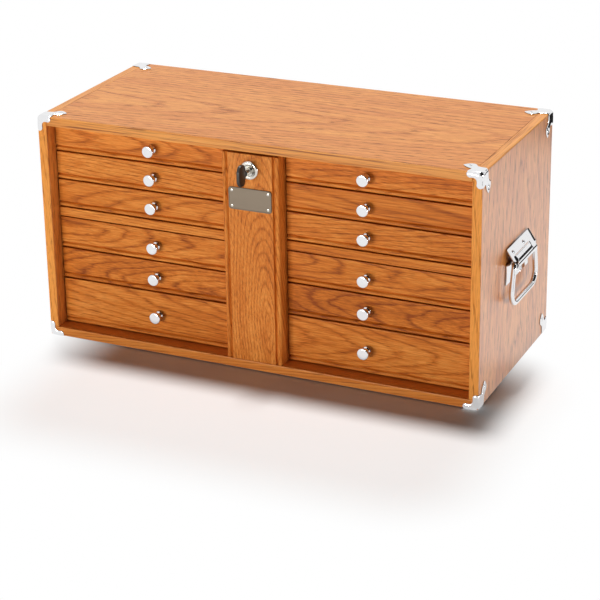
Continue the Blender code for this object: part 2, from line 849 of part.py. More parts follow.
for hand, sign in (("left", -1), ("right", 1)):
    pivot_x = sign * (SIDE_X + PIVOT_OUT)

    def across(points):
        """Points drawn outwards from the pivot, set at this handle's place in X and Z."""
        return [(pivot_x + sign * p[0], PIVOT_Z + p[1]) for p in points]

    def span(width):
        """A width centred on the case's depth."""
        return MID_Y - width / 2, MID_Y + width / 2

    holder = outline(
        f"{hand}_handle_bracket",
        "XZ",
        [across(arc((0.0, 0.0), BARREL_R, 0, 337.5, 16))],
        *span(BARREL_W),
        CHROME,
        (pivot_x, PIVOT_Z),
    )
    hood = outline(
        "hood", "XZ", [across(strip([hood_start, hood_stop], sheet))], *span(HANDLE_W)
    )
    neck = outline(
        "hood neck",
        "XZ",
        [across(strip([hood_stop - slope * HOOD_RELIEF / 2, hood_end], sheet))],
        *span(BARREL_W - SEAT_GAP),
    )
    flange = outline("flange", "XZ", [across(strip(crook, sheet))], *span(FLANGE_W))
    for piece in (flange, neck, hood):
        join(holder, piece)
    cut(
        holder,
        outline("pivot bore", "XZ", [across(arc((0.0, 0.0), bore, 0, 337.5, 16))], *span(BARREL_W + FLANGE_W)),
    )

    curve = bpy.data.curves.new(f"{hand}_handle_bail", "CURVE")
    curve.dimensions = "3D"
    curve.bevel_depth = BAIL_R
    curve.bevel_resolution = 2
    curve.use_fill_caps = True
    line = rounded_path(path, [BAIL_ELBOW_R, BAIL_CORNER_R, BAIL_CORNER_R, BAIL_ELBOW_R], 7)
    spline = curve.splines.new("POLY")
    spline.points.add(len(line) - 1)
    for point, place in zip(spline.points, line):
        point.co = (0.0, place.x, place.y, 1.0)
    bail = bpy.data.objects.new(f"{hand}_handle_bail", curve)
    bail.location = (pivot_x, MID_Y, PIVOT_Z)
    chest.objects.link(bail)
    as_mesh(bail, CHROME)

for obj in chest.objects:
    if obj.type == "MESH" and obj.name.endswith(("_knob", "_bail", "lock_body", "lock_plug")):
        obj.data.shade_smooth()
        obj.data.set_sharp_from_angle(angle=math.radians(35))
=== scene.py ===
"""Look of the wooden tool chest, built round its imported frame.

Every sub-assembly is a class: build() makes its shapes and dress() gives them
to the bodies they ride on. Sizes are in metres and follow the frame's nodes.
"""
import logging
import math
import random
from dataclasses import dataclass, field
from enum import Enum
from functools import cached_property, lru_cache, partial
from itertools import product
from typing import Any, ClassVar, Optional, Sequence, Union

import bmesh
import bpy
from mathutils import Matrix, Vector
from mathutils.geometry import delaunay_2d_cdt


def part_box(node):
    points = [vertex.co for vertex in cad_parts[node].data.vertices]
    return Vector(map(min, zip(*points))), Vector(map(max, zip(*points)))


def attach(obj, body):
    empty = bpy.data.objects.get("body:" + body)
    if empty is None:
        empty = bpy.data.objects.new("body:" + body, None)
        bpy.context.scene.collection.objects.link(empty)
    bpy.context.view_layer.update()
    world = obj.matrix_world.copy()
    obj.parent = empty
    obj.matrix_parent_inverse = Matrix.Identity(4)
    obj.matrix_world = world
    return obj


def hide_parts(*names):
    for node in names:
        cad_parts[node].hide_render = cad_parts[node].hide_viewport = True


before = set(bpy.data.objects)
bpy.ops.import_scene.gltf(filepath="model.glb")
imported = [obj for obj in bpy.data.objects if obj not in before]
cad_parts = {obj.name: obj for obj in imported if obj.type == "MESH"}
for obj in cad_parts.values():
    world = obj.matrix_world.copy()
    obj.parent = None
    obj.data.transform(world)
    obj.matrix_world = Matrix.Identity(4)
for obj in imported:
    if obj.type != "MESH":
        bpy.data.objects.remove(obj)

LOG = logging.getLogger("tool_chest")
MM = 0.001
GAP = 0.0003  # the frame's gap between seated faces
SEAM = 0.05 * MM  # hairline between the boards of one piece
WELD = 1e-6  # points closer than this are one
ROWS = range(1, 7)  # drawers of a column, from the top
Pair = tuple[float, float]
Triple = tuple[float, float, float]
Colour = tuple[float, float, float, float]
Fixing = tuple[Vector, Vector]  # a screw's place and the direction it faces


class Axis(Enum):
    """An axis of the chest's frame."""

    X = 0
    Y = 1
    Z = 2

    def place(self, along: float, first: float, second: float) -> Vector:
        """Set a point by its place on this axis and on the other two.

        Args:
            along: Place on this axis.
            first: Place on the first of the other axes.
            second: Place on the second of them.

        Returns:
            The point.
        """
        made = [first, second]
        made.insert(self.value, along)
        return Vector(made)


class Named(Enum):
    """A choice whose name is a word of the frame's node names."""

    @property
    def tag(self) -> str:
        """The choice's word in node names."""
        return self.name.lower()


class Hand(Named):
    """A side of the chest, as the sign of X."""

    LEFT = -1
    RIGHT = 1

    def span(self, near: float, far: float) -> Pair:
        """Low and high X of a stretch given by its distances from the middle."""
        low, high = sorted((self.value * near, self.value * far))
        return low, high


class Depth(Named):
    """Front or back, as the sign of Y that leads inwards from there."""

    FRONT = 1
    BACK = -1


class Level(Named):
    """Top or bottom, as the sign of Z that leads inwards from there."""

    UPPER = -1
    LOWER = 1


class Merge(Enum):
    """How one solid changes another."""

    UNITE = "UNION"
    CUT = "DIFFERENCE"


# ---------------------------------------------------------------- materials


def linear(code: str) -> Colour:
    """Turn an sRGB colour code into linear values.

    Args:
        code: Six hexadecimal digits.

    Returns:
        Linear red, green, blue and a full alpha.
    """
    parts = (int(code[i:i + 2], 16) / 255 for i in (0, 2, 4))
    red, green, blue = (c / 12.92 if c <= 0.04045 else ((c + 0.055) / 1.055) ** 2.4 for c in parts)
    return red, green, blue, 1.0


def add_node(
    tree: bpy.types.NodeTree,
    kind: str,
    inputs: Optional[dict[Union[str, int], Any]] = None,
    **settings: Any,
) -> bpy.types.Node:
    """Add a node with its settings, values and links.

    Args:
        tree: Node tree that gets the node.
        kind: Node type.
        inputs: Sockets by name or number; a node or an output socket is linked, anything else is set.
        settings: Properties of the node.

    Returns:
        The new node.
    """
    made = tree.nodes.new(kind)
    for key, value in settings.items():
        setattr(made, key, value)
    for key, value in (inputs or {}).items():
        source = value.outputs[0] if isinstance(value, bpy.types.Node) else value
        if isinstance(source, bpy.types.NodeSocket):
            tree.links.new(source, made.inputs[key])
        else:
            made.inputs[key].default_value = source
    return made


def set_stops(ramp: bpy.types.Node, stops: Sequence[tuple[float, Colour]]) -> None:
    """Give a colour ramp its stops.

    Args:
        ramp: Colour ramp node.
        stops: Places from 0 to 1 with their linear colours.
    """
    elements = ramp.color_ramp.elements
    while len(elements) < len(stops):
        elements.new(1.0)
    for element, (place, colour) in zip(elements, stops):
        element.position, element.color = place, colour


def blank(name: str, **values: Any) -> tuple[bpy.types.Material, bpy.types.NodeTree, bpy.types.Node]:
    """Start a material.

    Args:
        name: The material's name.
        values: Sockets of its shader that are the same all over, with _ for a space.

    Returns:
        The material, its tree and its Principled shader.
    """
    made = bpy.data.materials.new(name)
    made.use_nodes = True
    shader = made.node_tree.nodes["Principled BSDF"]
    for key, value in values.items():
        shader.inputs[key.replace("_", " ")].default_value = value
    return made, made.node_tree, shader


@dataclass(frozen=True)
class Timber:
    """Wood cut from a log and lacquered or left bare.

    The eye sees ring figure that runs out in arches, short dark pores lying in
    the early wood, fine streaks of fibre and slow drifts from brown to orange,
    all under a smooth film that lightens towards a glancing view. The vertex
    attribute "log" is a point's place in its log: along the fibres, then the
    two distances from the pith. "tone" lightens or darkens a whole board.
    Sizes of the patterns are given along and across the fibres.
    """

    name: str
    dark: str
    middle: str
    light: str
    pore: str
    ring: float = 3.8 * MM
    wander: float = 10 * MM  # how far the rings stray from a circle
    pore_size: Pair = (28 * MM, 0.9 * MM)
    coarse: float = 1.0  # widens fibres and pores where a glancing view would lose them
    line: float = 0.24  # how dark the early wood is
    pore_depth: float = 0.6
    contrast: float = 1.0
    gloss: float = 0.34
    specular: float = 0.4
    coat: float = 0.0
    warp_size: ClassVar[Pair] = (190 * MM, 40 * MM)
    fibre_size: ClassVar[Pair] = (190 * MM, 1.7 * MM)
    drift_size: ClassVar[Pair] = (300 * MM, 16 * MM)
    # Places in a year's ring, each with its share of early wood.
    year: ClassVar[tuple[Pair, ...]] = ((0, 0.5), (0.06, 1), (0.3, 0.1), (0.85, 0), (1, 0.5))
    pore_edge: ClassVar[Pair] = (0.5, 0.62)  # noise at which a pore begins and is full
    late_pores: ClassVar[float] = 0.3  # share of the pores' depth that is left in late wood
    fibre_share: ClassVar[float] = 0.75
    drift_share: ClassVar[float] = 0.6
    stops: ClassVar[Triple] = (0.05, 0.5, 0.95)  # shades that get the dark, middle and light colour
    balance: ClassVar[float] = 0.56  # taken off so that more contrast leaves the mean where it is
    dull: ClassVar[float] = 0.2  # roughness that a pore adds

    def material(self) -> bpy.types.Material:
        """Build the wood's material.

        Returns:
            The material.
        """
        made, tree, shader = blank(
            self.name, Specular_IOR_Level=self.specular, Coat_Weight=self.coat, Coat_Roughness=0.3)
        add = partial(add_node, tree)
        log = add("ShaderNodeAttribute", attribute_name="log").outputs["Vector"]
        tone = add("ShaderNodeAttribute", attribute_name="tone").outputs["Fac"]
        layers: dict[str, bpy.types.Node] = {}
        for key, (along, across), coarse, detail in (
            ("warp", self.warp_size, 1.0, 4.0),
            ("pore", self.pore_size, self.coarse, 1.0),
            ("fibre", self.fibre_size, self.coarse, 3.0),
            ("drift", self.drift_size, 1.0, 2.0),
        ):
            fine = (1 / along, 1 / (across * coarse), 1 / (across * coarse))
            spread = add("ShaderNodeVectorMath", {0: log, 1: fine}, operation="MULTIPLY")
            layers[key] = add("ShaderNodeTexNoise", {"Vector": spread, "Scale": 1.0, "Detail": detail})
        off = add("ShaderNodeVectorMath", {0: log, 1: (0, 1, 1)}, operation="MULTIPLY")
        reach = add("ShaderNodeVectorMath", {0: off}, operation="LENGTH").outputs["Value"]
        bent = add("ShaderNodeMath", {0: layers["warp"], 1: self.wander, 2: reach}, operation="MULTIPLY_ADD")
        turns = add("ShaderNodeMath", {0: bent, 1: 1 / self.ring}, operation="MULTIPLY")
        year = add("ShaderNodeMath", {0: turns}, operation="FRACT")
        early = add("ShaderNodeValToRGB", {"Fac": year})
        set_stops(early, [(place, (v, v, v, 1)) for place, v in self.year])
        start, full = self.pore_edge
        holes = add(
            "ShaderNodeMapRange", {"Value": layers["pore"], "From Min": start, "From Max": full},
            interpolation_type="SMOOTHSTEP",
        )
        shallow = self.late_pores * self.pore_depth
        laid = add("ShaderNodeMapRange", {"Value": early, "To Min": shallow, "To Max": self.pore_depth})
        pores = add("ShaderNodeMath", {0: holes, 1: laid}, operation="MULTIPLY")
        mean = self.stops[1] - self.balance * self.contrast
        shade = add("ShaderNodeMath", {0: tone, 1: mean}, operation="ADD")
        for part, share in (
            (layers["fibre"], self.fibre_share), (layers["drift"], self.drift_share), (early, -self.line),
        ):
            weight = share * self.contrast
            shade = add("ShaderNodeMath", {0: part, 1: weight, 2: shade}, operation="MULTIPLY_ADD")
        wood = add("ShaderNodeValToRGB", {"Fac": shade})
        colours = (linear(code) for code in (self.dark, self.middle, self.light))
        set_stops(wood, list(zip(self.stops, colours)))
        # The node's inputs 6 and 7 and its output 2 are the ones for colours.
        mixed = add("ShaderNodeMix", {0: pores, 6: wood, 7: linear(self.pore)}, data_type="RGBA").outputs[2]
        rough = self.gloss + self.dull
        film = add("ShaderNodeMapRange", {"Value": pores, "To Min": self.gloss, "To Max": rough}).outputs[0]
        height = add("ShaderNodeMath", {0: pores, 1: -1.0, 2: layers["fibre"]}, operation="MULTIPLY_ADD")
        relief = add("ShaderNodeBump", {"Strength": 0.18, "Distance": 0.3 * MM, "Height": height}).outputs[0]
        for socket, value in (("Base Color", mixed), ("Roughness", film), ("Normal", relief)):
            tree.links.new(value, shader.inputs[socket])
        return made


@dataclass(frozen=True)
class Metal:
    """Plated or brushed metal, with a faint unevenness in its polish."""

    name: str
    colour: str
    rough: Pair
    grain: Triple
    relief: float = 0.0

    def material(self) -> bpy.types.Material:
        """Build the metal's material.

        Returns:
            The material.
        """
        made, tree, shader = blank(self.name, Base_Color=linear(self.colour), Metallic=1.0)
        add = partial(add_node, tree)
        where, fine = add("ShaderNodeTexCoord").outputs["Object"], tuple(1 / size for size in self.grain)
        spread = add("ShaderNodeVectorMath", {0: where, 1: fine}, operation="MULTIPLY")
        uneven = add("ShaderNodeTexNoise", {"Vector": spread, "Scale": 1.0, "Detail": 2.0})
        low, high = self.rough
        polish = add("ShaderNodeMapRange", {
            "Value": uneven, "From Min": 0.3, "From Max": 0.7, "To Min": low, "To Max": high})
        tree.links.new(polish.outputs[0], shader.inputs["Roughness"])
        if self.relief:
            bump = add("ShaderNodeBump", {"Strength": self.relief, "Distance": 0.1 * MM, "Height": uneven})
            tree.links.new(bump.outputs[0], shader.inputs["Normal"])
        return made


@dataclass(frozen=True)
class Matt:
    """A dull surface with a fine grain: moulded plastic or felt."""

    name: str
    colours: tuple[str, str]
    grain: float
    rough: float
    relief: float
    sheen: float = 0.0

    def material(self) -> bpy.types.Material:
        """Build the dull material.

        Returns:
            The material.
        """
        made, tree, shader = blank(self.name, Roughness=self.rough, Sheen_Weight=self.sheen)
        add = partial(add_node, tree)
        where = add("ShaderNodeTexCoord").outputs["Object"]
        speck = add("ShaderNodeTexNoise", {"Vector": where, "Scale": 1 / self.grain, "Detail": 4.0})
        tint = add("ShaderNodeValToRGB", {"Fac": speck})
        set_stops(tint, [(0.3, linear(self.colours[0])), (0.7, linear(self.colours[1]))])
        bump = add("ShaderNodeBump", {"Strength": self.relief, "Distance": 0.2 * MM, "Height": speck})
        for socket, node in (("Base Color", tint), ("Normal", bump)):
            tree.links.new(node.outputs[0], shader.inputs[socket])
        return made


class Finish:
    """The chest's materials, each built once."""

    def __init__(self) -> None:
        """Build every material."""
        oak = dict(dark="934716", middle="CD7427", light="EC9D49", pore="6B3009")
        # Orange-brown oak under satin lacquer, with fine dark streaks along the drawers.
        self.front = Timber("lacquered_oak_fronts", **oak, contrast=1.25, specular=0.12).material()
        # The same wood where wide rings run out across the board in flames.
        self.flame = Timber(
            "lacquered_oak_flame_fronts", **oak, ring=4.6 * MM, wander=20 * MM, line=0.28,
            contrast=1.3, specular=0.12,
        ).material()
        # Paler and calmer, with long pores that show at the glancing view; they are drawn coarser for it.
        self.top = Timber(
            "lacquered_oak_top", dark="95500F", middle="CC7926", light="EAA24A", pore="6B3009",
            ring=7 * MM, coarse=1.2, pore_size=(55 * MM, 0.9 * MM), line=0.22, contrast=0.8,
            pore_depth=0.9, specular=0.34,
        ).material()
        # Long upright streaks under a thicker film that greys them; drawn coarser for the glancing view.
        self.side = Timber(
            "lacquered_oak_sides", **oak, ring=11 * MM, wander=26 * MM, pore_size=(70 * MM, 0.9 * MM),
            coarse=1.9, line=0.16, contrast=1.3, coat=1.0, pore_depth=0.85, specular=0.5,
        ).material()
        # Upright arches on the flush panel, a shade calmer than the drawers.
        self.panel = Timber("lacquered_oak_lock_panel", **oak, contrast=1.1, specular=0.16).material()
        # Plain boards that stay in the shade of the others.
        self.case = Timber("lacquered_oak_case", **oak, specular=0.2).material()
        # Pale dry wood with hardly any figure.
        self.tray = Timber(
            "bare_maple_drawer_boxes", dark="B98C58", middle="D6B07C", light="E6C99B", pore="9A7042",
            pore_depth=0.35, contrast=0.8, gloss=0.5, specular=0.3,
        ).material()
        # Bright mirror plating that shows the white room and its dark cards.
        self.chrome = Metal(
            "polished_chrome", "E9E9EA", rough=(0.05, 0.11), grain=(6 * MM, 6 * MM, 6 * MM)).material()
        # Slightly warmer and softer than the chrome beside it.
        self.nickel = Metal(
            "polished_nickel", "D9D5CC", rough=(0.12, 0.2), grain=(4 * MM, 4 * MM, 4 * MM)).material()
        # Grey-brown metal with a fine brush along its length.
        self.plate = Metal(
            "brushed_bronze_grey_plate", "6C6256", rough=(0.32, 0.45), grain=(14 * MM, 2 * MM, 0.5 * MM),
            relief=0.25,
        ).material()
        # Near-black moulding with a fine spark-eroded grain.
        self.plastic = Matt(
            "black_moulded_plastic", ("17130F", "231D19"), grain=0.6 * MM, rough=0.42, relief=0.12,
        ).material()
        # Short green nap, a little paler where it stands up.
        self.felt = Matt(
            "green_felt", ("2C4A38", "3C6049"), grain=1.6 * MM, rough=0.95, relief=0.6, sheen=0.3,
        ).material()


# ---------------------------------------------------------------- outlines


def scaled(points: Sequence[Pair]) -> list[Pair]:
    """Turn points from millimetres to metres."""
    return [(a * MM, b * MM) for a, b in points]


def arc(centre: Pair, radius: float, start: float, stop: float, steps: int) -> list[Pair]:
    """Points on an arc, from a start to a stop angle in degrees."""
    turns = (math.radians(start + (stop - start) * i / steps) for i in range(steps + 1))
    return [(centre[0] + radius * math.cos(t), centre[1] + radius * math.sin(t)) for t in turns]


def smooth_line(points: Sequence[Pair], steps: int) -> list[Pair]:
    """Run a smooth open line through points.

    Args:
        points: Points the line passes.
        steps: Pieces between two points.

    Returns:
        The line's points, ends included.
    """
    spots = [Vector(p) for p in points]
    spots = [2 * spots[0] - spots[1], *spots, 2 * spots[-1] - spots[-2]]
    made: list[Pair] = []
    for a, b, c, d in zip(spots, spots[1:], spots[2:], spots[3:]):
        slope, bow, twist = c - a, 2 * a - 5 * b + 4 * c - d, 3 * b - a - 3 * c + d
        for i in range(steps):
            t = i / steps
            made.append(tuple(0.5 * (2 * b + slope * t + bow * t * t + twist * t ** 3)))
    return [*made, tuple(points[-1])]


def rounded(corners: Sequence[Pair], radius: float, steps: int = 4) -> list[Pair]:
    """Round the corners of a closed outline.

    Args:
        corners: Corners in order.
        radius: Length taken off each side of a corner.
        steps: Pieces round a corner.

    Returns:
        Points of the rounded outline.
    """
    spots = [Vector(p) for p in corners]
    made: list[Pair] = []
    for a, b, c in zip(spots[-1:] + spots[:-1], spots, spots[1:] + spots[:1]):
        start, stop = b + (a - b).normalized() * radius, b + (c - b).normalized() * radius
        for i in range(steps + 1):
            t = i / steps
            made.append(tuple((1 - t) ** 2 * start + 2 * t * (1 - t) * b + t * t * stop))
    return made


def fillet(a: Pair, b: Pair, c: Pair, radius: float, steps: int) -> list[Pair]:
    """Draw a round corner.

    Args:
        a: Point before the corner.
        b: The corner.
        c: Point after it.
        radius: Radius of the bend.
        steps: Pieces of the bend.

    Returns:
        Points from the start to the end of the bend.
    """
    at = Vector(b)
    one, two = (Vector(a) - at).normalized(), (Vector(c) - at).normalized()
    half = one.angle(two) / 2
    middle = at + (one + two).normalized() * radius / math.sin(half)
    start, stop = (at + way * radius / math.tan(half) - middle for way in (one, two))
    first, turn = math.atan2(start.y, start.x), start.angle_signed(stop)
    angles = (first - turn * i / steps for i in range(steps + 1))
    return [(middle.x + radius * math.cos(t), middle.y + radius * math.sin(t)) for t in angles]


def shrink(outline: Sequence[Pair], amount: float) -> list[Pair]:
    """Move a closed outline inwards.

    Args:
        outline: Points in order, either way round.
        amount: Distance.

    Returns:
        The moved points.
    """
    spots = [Vector(p) for p in outline]
    ring = list(zip(spots[-1:] + spots[:-1], spots, spots[1:] + spots[:1]))
    area = sum(b.x * c.y - c.x * b.y for _, b, c in ring)
    sign = 1 if area > 0 else -1
    made = []
    for a, b, c in ring:
        before, after = (b - a).normalized(), (c - b).normalized()
        inward = Vector((-(before.y + after.y), before.x + after.x)) * sign
        made.append(tuple(b + inward.normalized() * amount if inward.length > 1e-6 else b))
    return made


def fade(value: float, start: float, stop: float) -> float:
    """Smooth share from 0 at the start to 1 at the stop."""
    share = max(0.0, min(1.0, (value - start) / (stop - start)))
    return share * share * (3 - 2 * share)


def gap_to(spot: Vector, a: Vector, b: Vector) -> float:
    """Distance from a point to the stretch between two others."""
    share = max(0.0, min(1.0, (spot - a).dot(b - a) / max((b - a).length_squared, 1e-12)))
    return (spot - a - (b - a) * share).length


def inside(spot: Vector, outline: Sequence[Pair]) -> bool:
    """Tell whether a point lies inside a closed outline.

    Args:
        spot: The point.
        outline: Points in order.

    Returns:
        Whether it does.
    """
    odd = False
    for (x0, y0), (x1, y1) in zip(outline, [*outline[1:], outline[0]]):
        if (y0 > spot.y) != (y1 > spot.y) and spot.x < x0 + (x1 - x0) * (spot.y - y0) / (y1 - y0):
            odd = not odd
    return odd


@dataclass(frozen=True)
class Bead:
    """A rounded bead along an edge, parted from the face by a groove."""

    width: float
    sweep: float  # degrees of the rounding
    groove: Pair = (2.4 * MM, 3.3 * MM)  # width and depth
    lip: float = 0.6 * MM  # radius of the groove's far edge

    def outline(self) -> list[Pair]:
        """Draw the bead and its groove.

        Returns:
            Distances in from the edge and behind the face.
        """
        wide, deep = self.groove
        r, far = self.width / 2, self.width + wide + self.lip / 2
        line = arc((r, r), r, 180, 180 + self.sweep, 9)
        line += [(self.width + 0.35 * wide, deep), (self.width + 0.5 * wide, deep)]
        return line + arc((far, self.lip), self.lip, 210, 270, 3)


# ---------------------------------------------------------------- shaping


@dataclass(frozen=True)
class Cut:
    """How a board was cut from its log.

    pith is the log's centre line, given by its distance across and below the
    board's middle; lean and drift are its slopes along the grain.
    """

    grain: Axis
    face: Axis
    centre: Vector
    pith: float
    depth: float
    lean: float
    drift: float
    tone: float
    shift: float

    def spot(self, point: Vector) -> Vector:
        """Place of a point in the log.

        Args:
            point: Point of the board.

        Returns:
            Distance along the fibres and the two distances from the pith.
        """
        across = next(a for a in Axis if a not in (self.grain, self.face))
        off = point - self.centre
        along = off[self.grain.value]
        return Vector((
            along + self.shift,
            off[across.value] - self.pith - self.drift * along,
            off[self.face.value] + self.depth + self.lean * along,
        ))

    @staticmethod
    def pick(name: str, low: Vector, high: Vector, grain: Axis, face: Axis, **chosen: float) -> "Cut":
        """Cut a board at a place that its name settles.

        Args:
            name: Name of the board, which seeds the choice.
            low: Low corner of the board.
            high: High corner of the board.
            grain: Axis along the fibres.
            face: Axis through the board's thickness.
            chosen: Values that replace the ones picked.

        Returns:
            The cut.
        """
        dice = random.Random(name)
        values = {
            "pith": dice.uniform(-0.05, 0.05),
            "depth": dice.uniform(0.03, 0.08),
            "lean": dice.choice((-1, 1)) * dice.uniform(0.03, 0.12),
            "drift": dice.uniform(-0.03, 0.03),
            "tone": dice.uniform(-0.07, 0.07),
            "shift": dice.uniform(0.0, 5.0),
        }
        values.update(chosen)
        return Cut(grain, face, (low + high) / 2, **values)


def put(name: str, data: bpy.types.ID) -> bpy.types.Object:
    """Put an object into the scene.

    Args:
        name: The object's name.
        data: Its mesh, curve, lamp or camera.

    Returns:
        The object.
    """
    made = bpy.data.objects.new(name, data)
    bpy.context.scene.collection.objects.link(made)
    return made


class Shaper:
    """Gathers the shells of one piece; each keeps its own place in a log."""

    def __init__(self) -> None:
        """Start an empty piece."""
        self.bm = bmesh.new()
        self.log = self.bm.verts.layers.float_vector.new("log")
        self.tone = self.bm.verts.layers.float.new("tone")
        self.done = self.bm.verts.layers.int.new("done")

    def stamp(self, cut: Optional[Cut]) -> "Shaper":
        """Write a cut on the points that have none yet.

        Args:
            cut: The cut, or None for a piece that isn't wood.

        Returns:
            The shaper.
        """
        for vert in self.bm.verts:
            if not vert[self.done]:
                vert[self.done] = 1
                if cut:
                    vert[self.log], vert[self.tone] = cut.spot(vert.co), cut.tone
        return self

    def board(
        self, low: Sequence[float], high: Sequence[float], cut: Optional[Cut] = None,
        ease: float = 0.8 * MM, steps: int = 2,
    ) -> "Shaper":
        """Add a block with rounded edges.

        Args:
            low: Low corner.
            high: High corner.
            cut: The wood's cut.
            ease: Radius of the edges.
            steps: Faces round an edge.

        Returns:
            The shaper.
        """
        low, high = Vector(low), Vector(high)
        made = bmesh.ops.create_cube(self.bm, size=1.0)["verts"]
        bmesh.ops.scale(self.bm, vec=high - low, verts=made)
        bmesh.ops.translate(self.bm, vec=(high + low) / 2, verts=made)
        edges = list(dict.fromkeys(edge for vert in made for edge in vert.link_edges))  # each edge once
        bmesh.ops.bevel(self.bm, geom=edges, offset=ease, segments=steps, profile=0.5, affect="EDGES")
        return self.stamp(cut)

    def plank(
        self, name: str, low: Sequence[float], high: Sequence[float], grain: Axis, face: Axis,
        ease: float, steps: int = 2, **chosen: float,
    ) -> "Shaper":
        """Add a board whose name settles its cut.

        Args:
            name: Name of the board.
            low: Low corner.
            high: High corner.
            grain: Axis along the fibres.
            face: Axis through the board's thickness.
            ease: Radius of the edges.
            steps: Faces round an edge.
            chosen: Values of the cut that replace the ones picked.

        Returns:
            The shaper.
        """
        cut = Cut.pick(name, Vector(low), Vector(high), grain, face, **chosen)
        return self.board(low, high, cut, ease, steps)

    def loops(self, rings: Sequence[Sequence[Vector]], closed: bool = False) -> "Shaper":
        """Skin rings of points, with caps at both ends unless they close on themselves.

        Args:
            rings: Rings of equal length; a ring of one point is a pole.
            closed: Whether the last ring joins the first.

        Returns:
            The shaper.
        """
        made = [[self.bm.verts.new(point) for point in ring] for ring in rings]
        for one, two in zip(made, made[1:] + (made[:1] if closed else [])):
            size = max(len(one), len(two))
            for i in range(size):
                j = (i + 1) % size
                corners = [one[i % len(one)], one[j % len(one)], two[j % len(two)], two[i % len(two)]]
                self.bm.faces.new(list(dict.fromkeys(corners)))
        if not closed:
            for ring in (made[0][::-1], made[-1]):
                if len(ring) > 2:
                    self.bm.faces.new(ring)
        return self

    def moulding(
        self, profile: Sequence[Pair], axis: Axis, low: float, high: float,
        cut: Optional[Cut] = None, ease: float = 0.4 * MM,
    ) -> "Shaper":
        """Add a profile run along an axis, its ends eased.

        Args:
            profile: Points on the other two axes.
            axis: Axis of the run.
            low: Start.
            high: End.
            cut: The wood's cut.
            ease: Size of the eased ends.

        Returns:
            The shaper.
        """
        small = shrink(profile, ease)
        runs = ((low, small), (low + ease, profile), (high - ease, profile), (high, small))
        return self.loops([[axis.place(at, *p) for p in points] for at, points in runs]).stamp(cut)

    def turned(
        self, profile: Sequence[Pair], centre: Vector, way: Vector, steps: int = 48, closed: bool = False,
    ) -> "Shaper":
        """Add a turned shape.

        Args:
            profile: Radius and height, from one end to the other.
            centre: Point of height 0 on the turning axis.
            way: Direction of the axis.
            steps: Faces round the axis.
            closed: Whether the profile is a ring that stands off the axis.

        Returns:
            The shaper.
        """
        turn = way.to_track_quat("Z", "Y").to_matrix()
        rings = []
        for radius, height in profile:
            count = steps if radius else 1  # a point on the axis is a pole
            angles = (2 * math.pi * i / steps for i in range(count))
            points = (Vector((radius * math.cos(t), radius * math.sin(t), height)) for t in angles)
            rings.append([centre + turn @ point for point in points])
        return self.loops(rings, closed).stamp(None)

    def node(self, name: str) -> "Shaper":
        """Add a copy of a frame node, welded, with its flat faces whole.

        Args:
            name: The node.

        Returns:
            The shaper.
        """
        self.bm.from_mesh(bpy.data.objects[name].data)
        bmesh.ops.remove_doubles(self.bm, verts=self.bm.verts, dist=WELD)
        bmesh.ops.dissolve_limit(
            self.bm, angle_limit=math.radians(1), verts=self.bm.verts, edges=self.bm.edges)
        return self

    def piece(
        self, name: str, material: bpy.types.Material, sharp: float = 0.0, outward: bool = True,
    ) -> bpy.types.Object:
        """Turn the shells into an object.

        Args:
            name: The piece's name.
            material: Its material.
            sharp: Angle in degrees past which edges stay sharp; 0 keeps every face flat.
            outward: Whether faces are turned outwards first; an open sheet keeps its own.

        Returns:
            The object.
        """
        self.bm.verts.layers.int.remove(self.bm.verts.layers.int["done"])
        if outward:
            bmesh.ops.recalc_face_normals(self.bm, faces=self.bm.faces)
        mesh = bpy.data.meshes.new(name)
        self.bm.to_mesh(mesh)
        self.bm.free()
        mesh.materials.append(material)
        made = put(name, mesh)
        soften(made, sharp)
        return made


def soften(piece: bpy.types.Object, sharp: float) -> None:
    """Shade a piece smooth up to an angle.

    Args:
        piece: The piece.
        sharp: The angle in degrees; 0 leaves it flat.
    """
    if sharp:
        piece.data.shade_smooth()
        piece.data.set_sharp_from_angle(angle=math.radians(sharp))


def evaluated(piece: bpy.types.Object) -> bpy.types.Mesh:
    """Take the plain mesh that an object's modifiers or curve give.

    Args:
        piece: The object.

    Returns:
        A new mesh.
    """
    graph = bpy.context.evaluated_depsgraph_get()
    graph.update()
    return bpy.data.meshes.new_from_object(piece.evaluated_get(graph))


def bake(piece: bpy.types.Object) -> None:
    """Turn a piece's modifiers into plain mesh.

    Args:
        piece: Object with modifiers.
    """
    mesh = evaluated(piece)
    old, name = piece.data, piece.name
    piece.modifiers.clear()
    piece.data = mesh
    bpy.data.meshes.remove(old)
    mesh.name = name


def discard(piece: bpy.types.Object) -> None:
    """Remove a piece that is used up.

    Args:
        piece: Object with a mesh.
    """
    mesh = piece.data
    bpy.data.objects.remove(piece)
    bpy.data.meshes.remove(mesh)


def join(piece: bpy.types.Object, other: bpy.types.Object, how: Merge) -> None:
    """Change a piece by another, and drop the other.

    Args:
        piece: Object that stays.
        other: Object that is used up.
        how: Whether it is added or cut away.
    """
    change = piece.modifiers.new("join", "BOOLEAN")
    change.object, change.operation, change.solver = other, how.value, "EXACT"
    bake(piece)
    discard(other)


def thicken(piece: bpy.types.Object, sheet: float) -> None:
    """Give an open sheet its thickness, behind its outer face.

    Args:
        piece: The sheet.
        sheet: Its thickness.
    """
    change = piece.modifiers.new("thickness", "SOLIDIFY")
    change.thickness, change.offset = sheet, -1.0
    bake(piece)


# ---------------------------------------------------------------- the chest


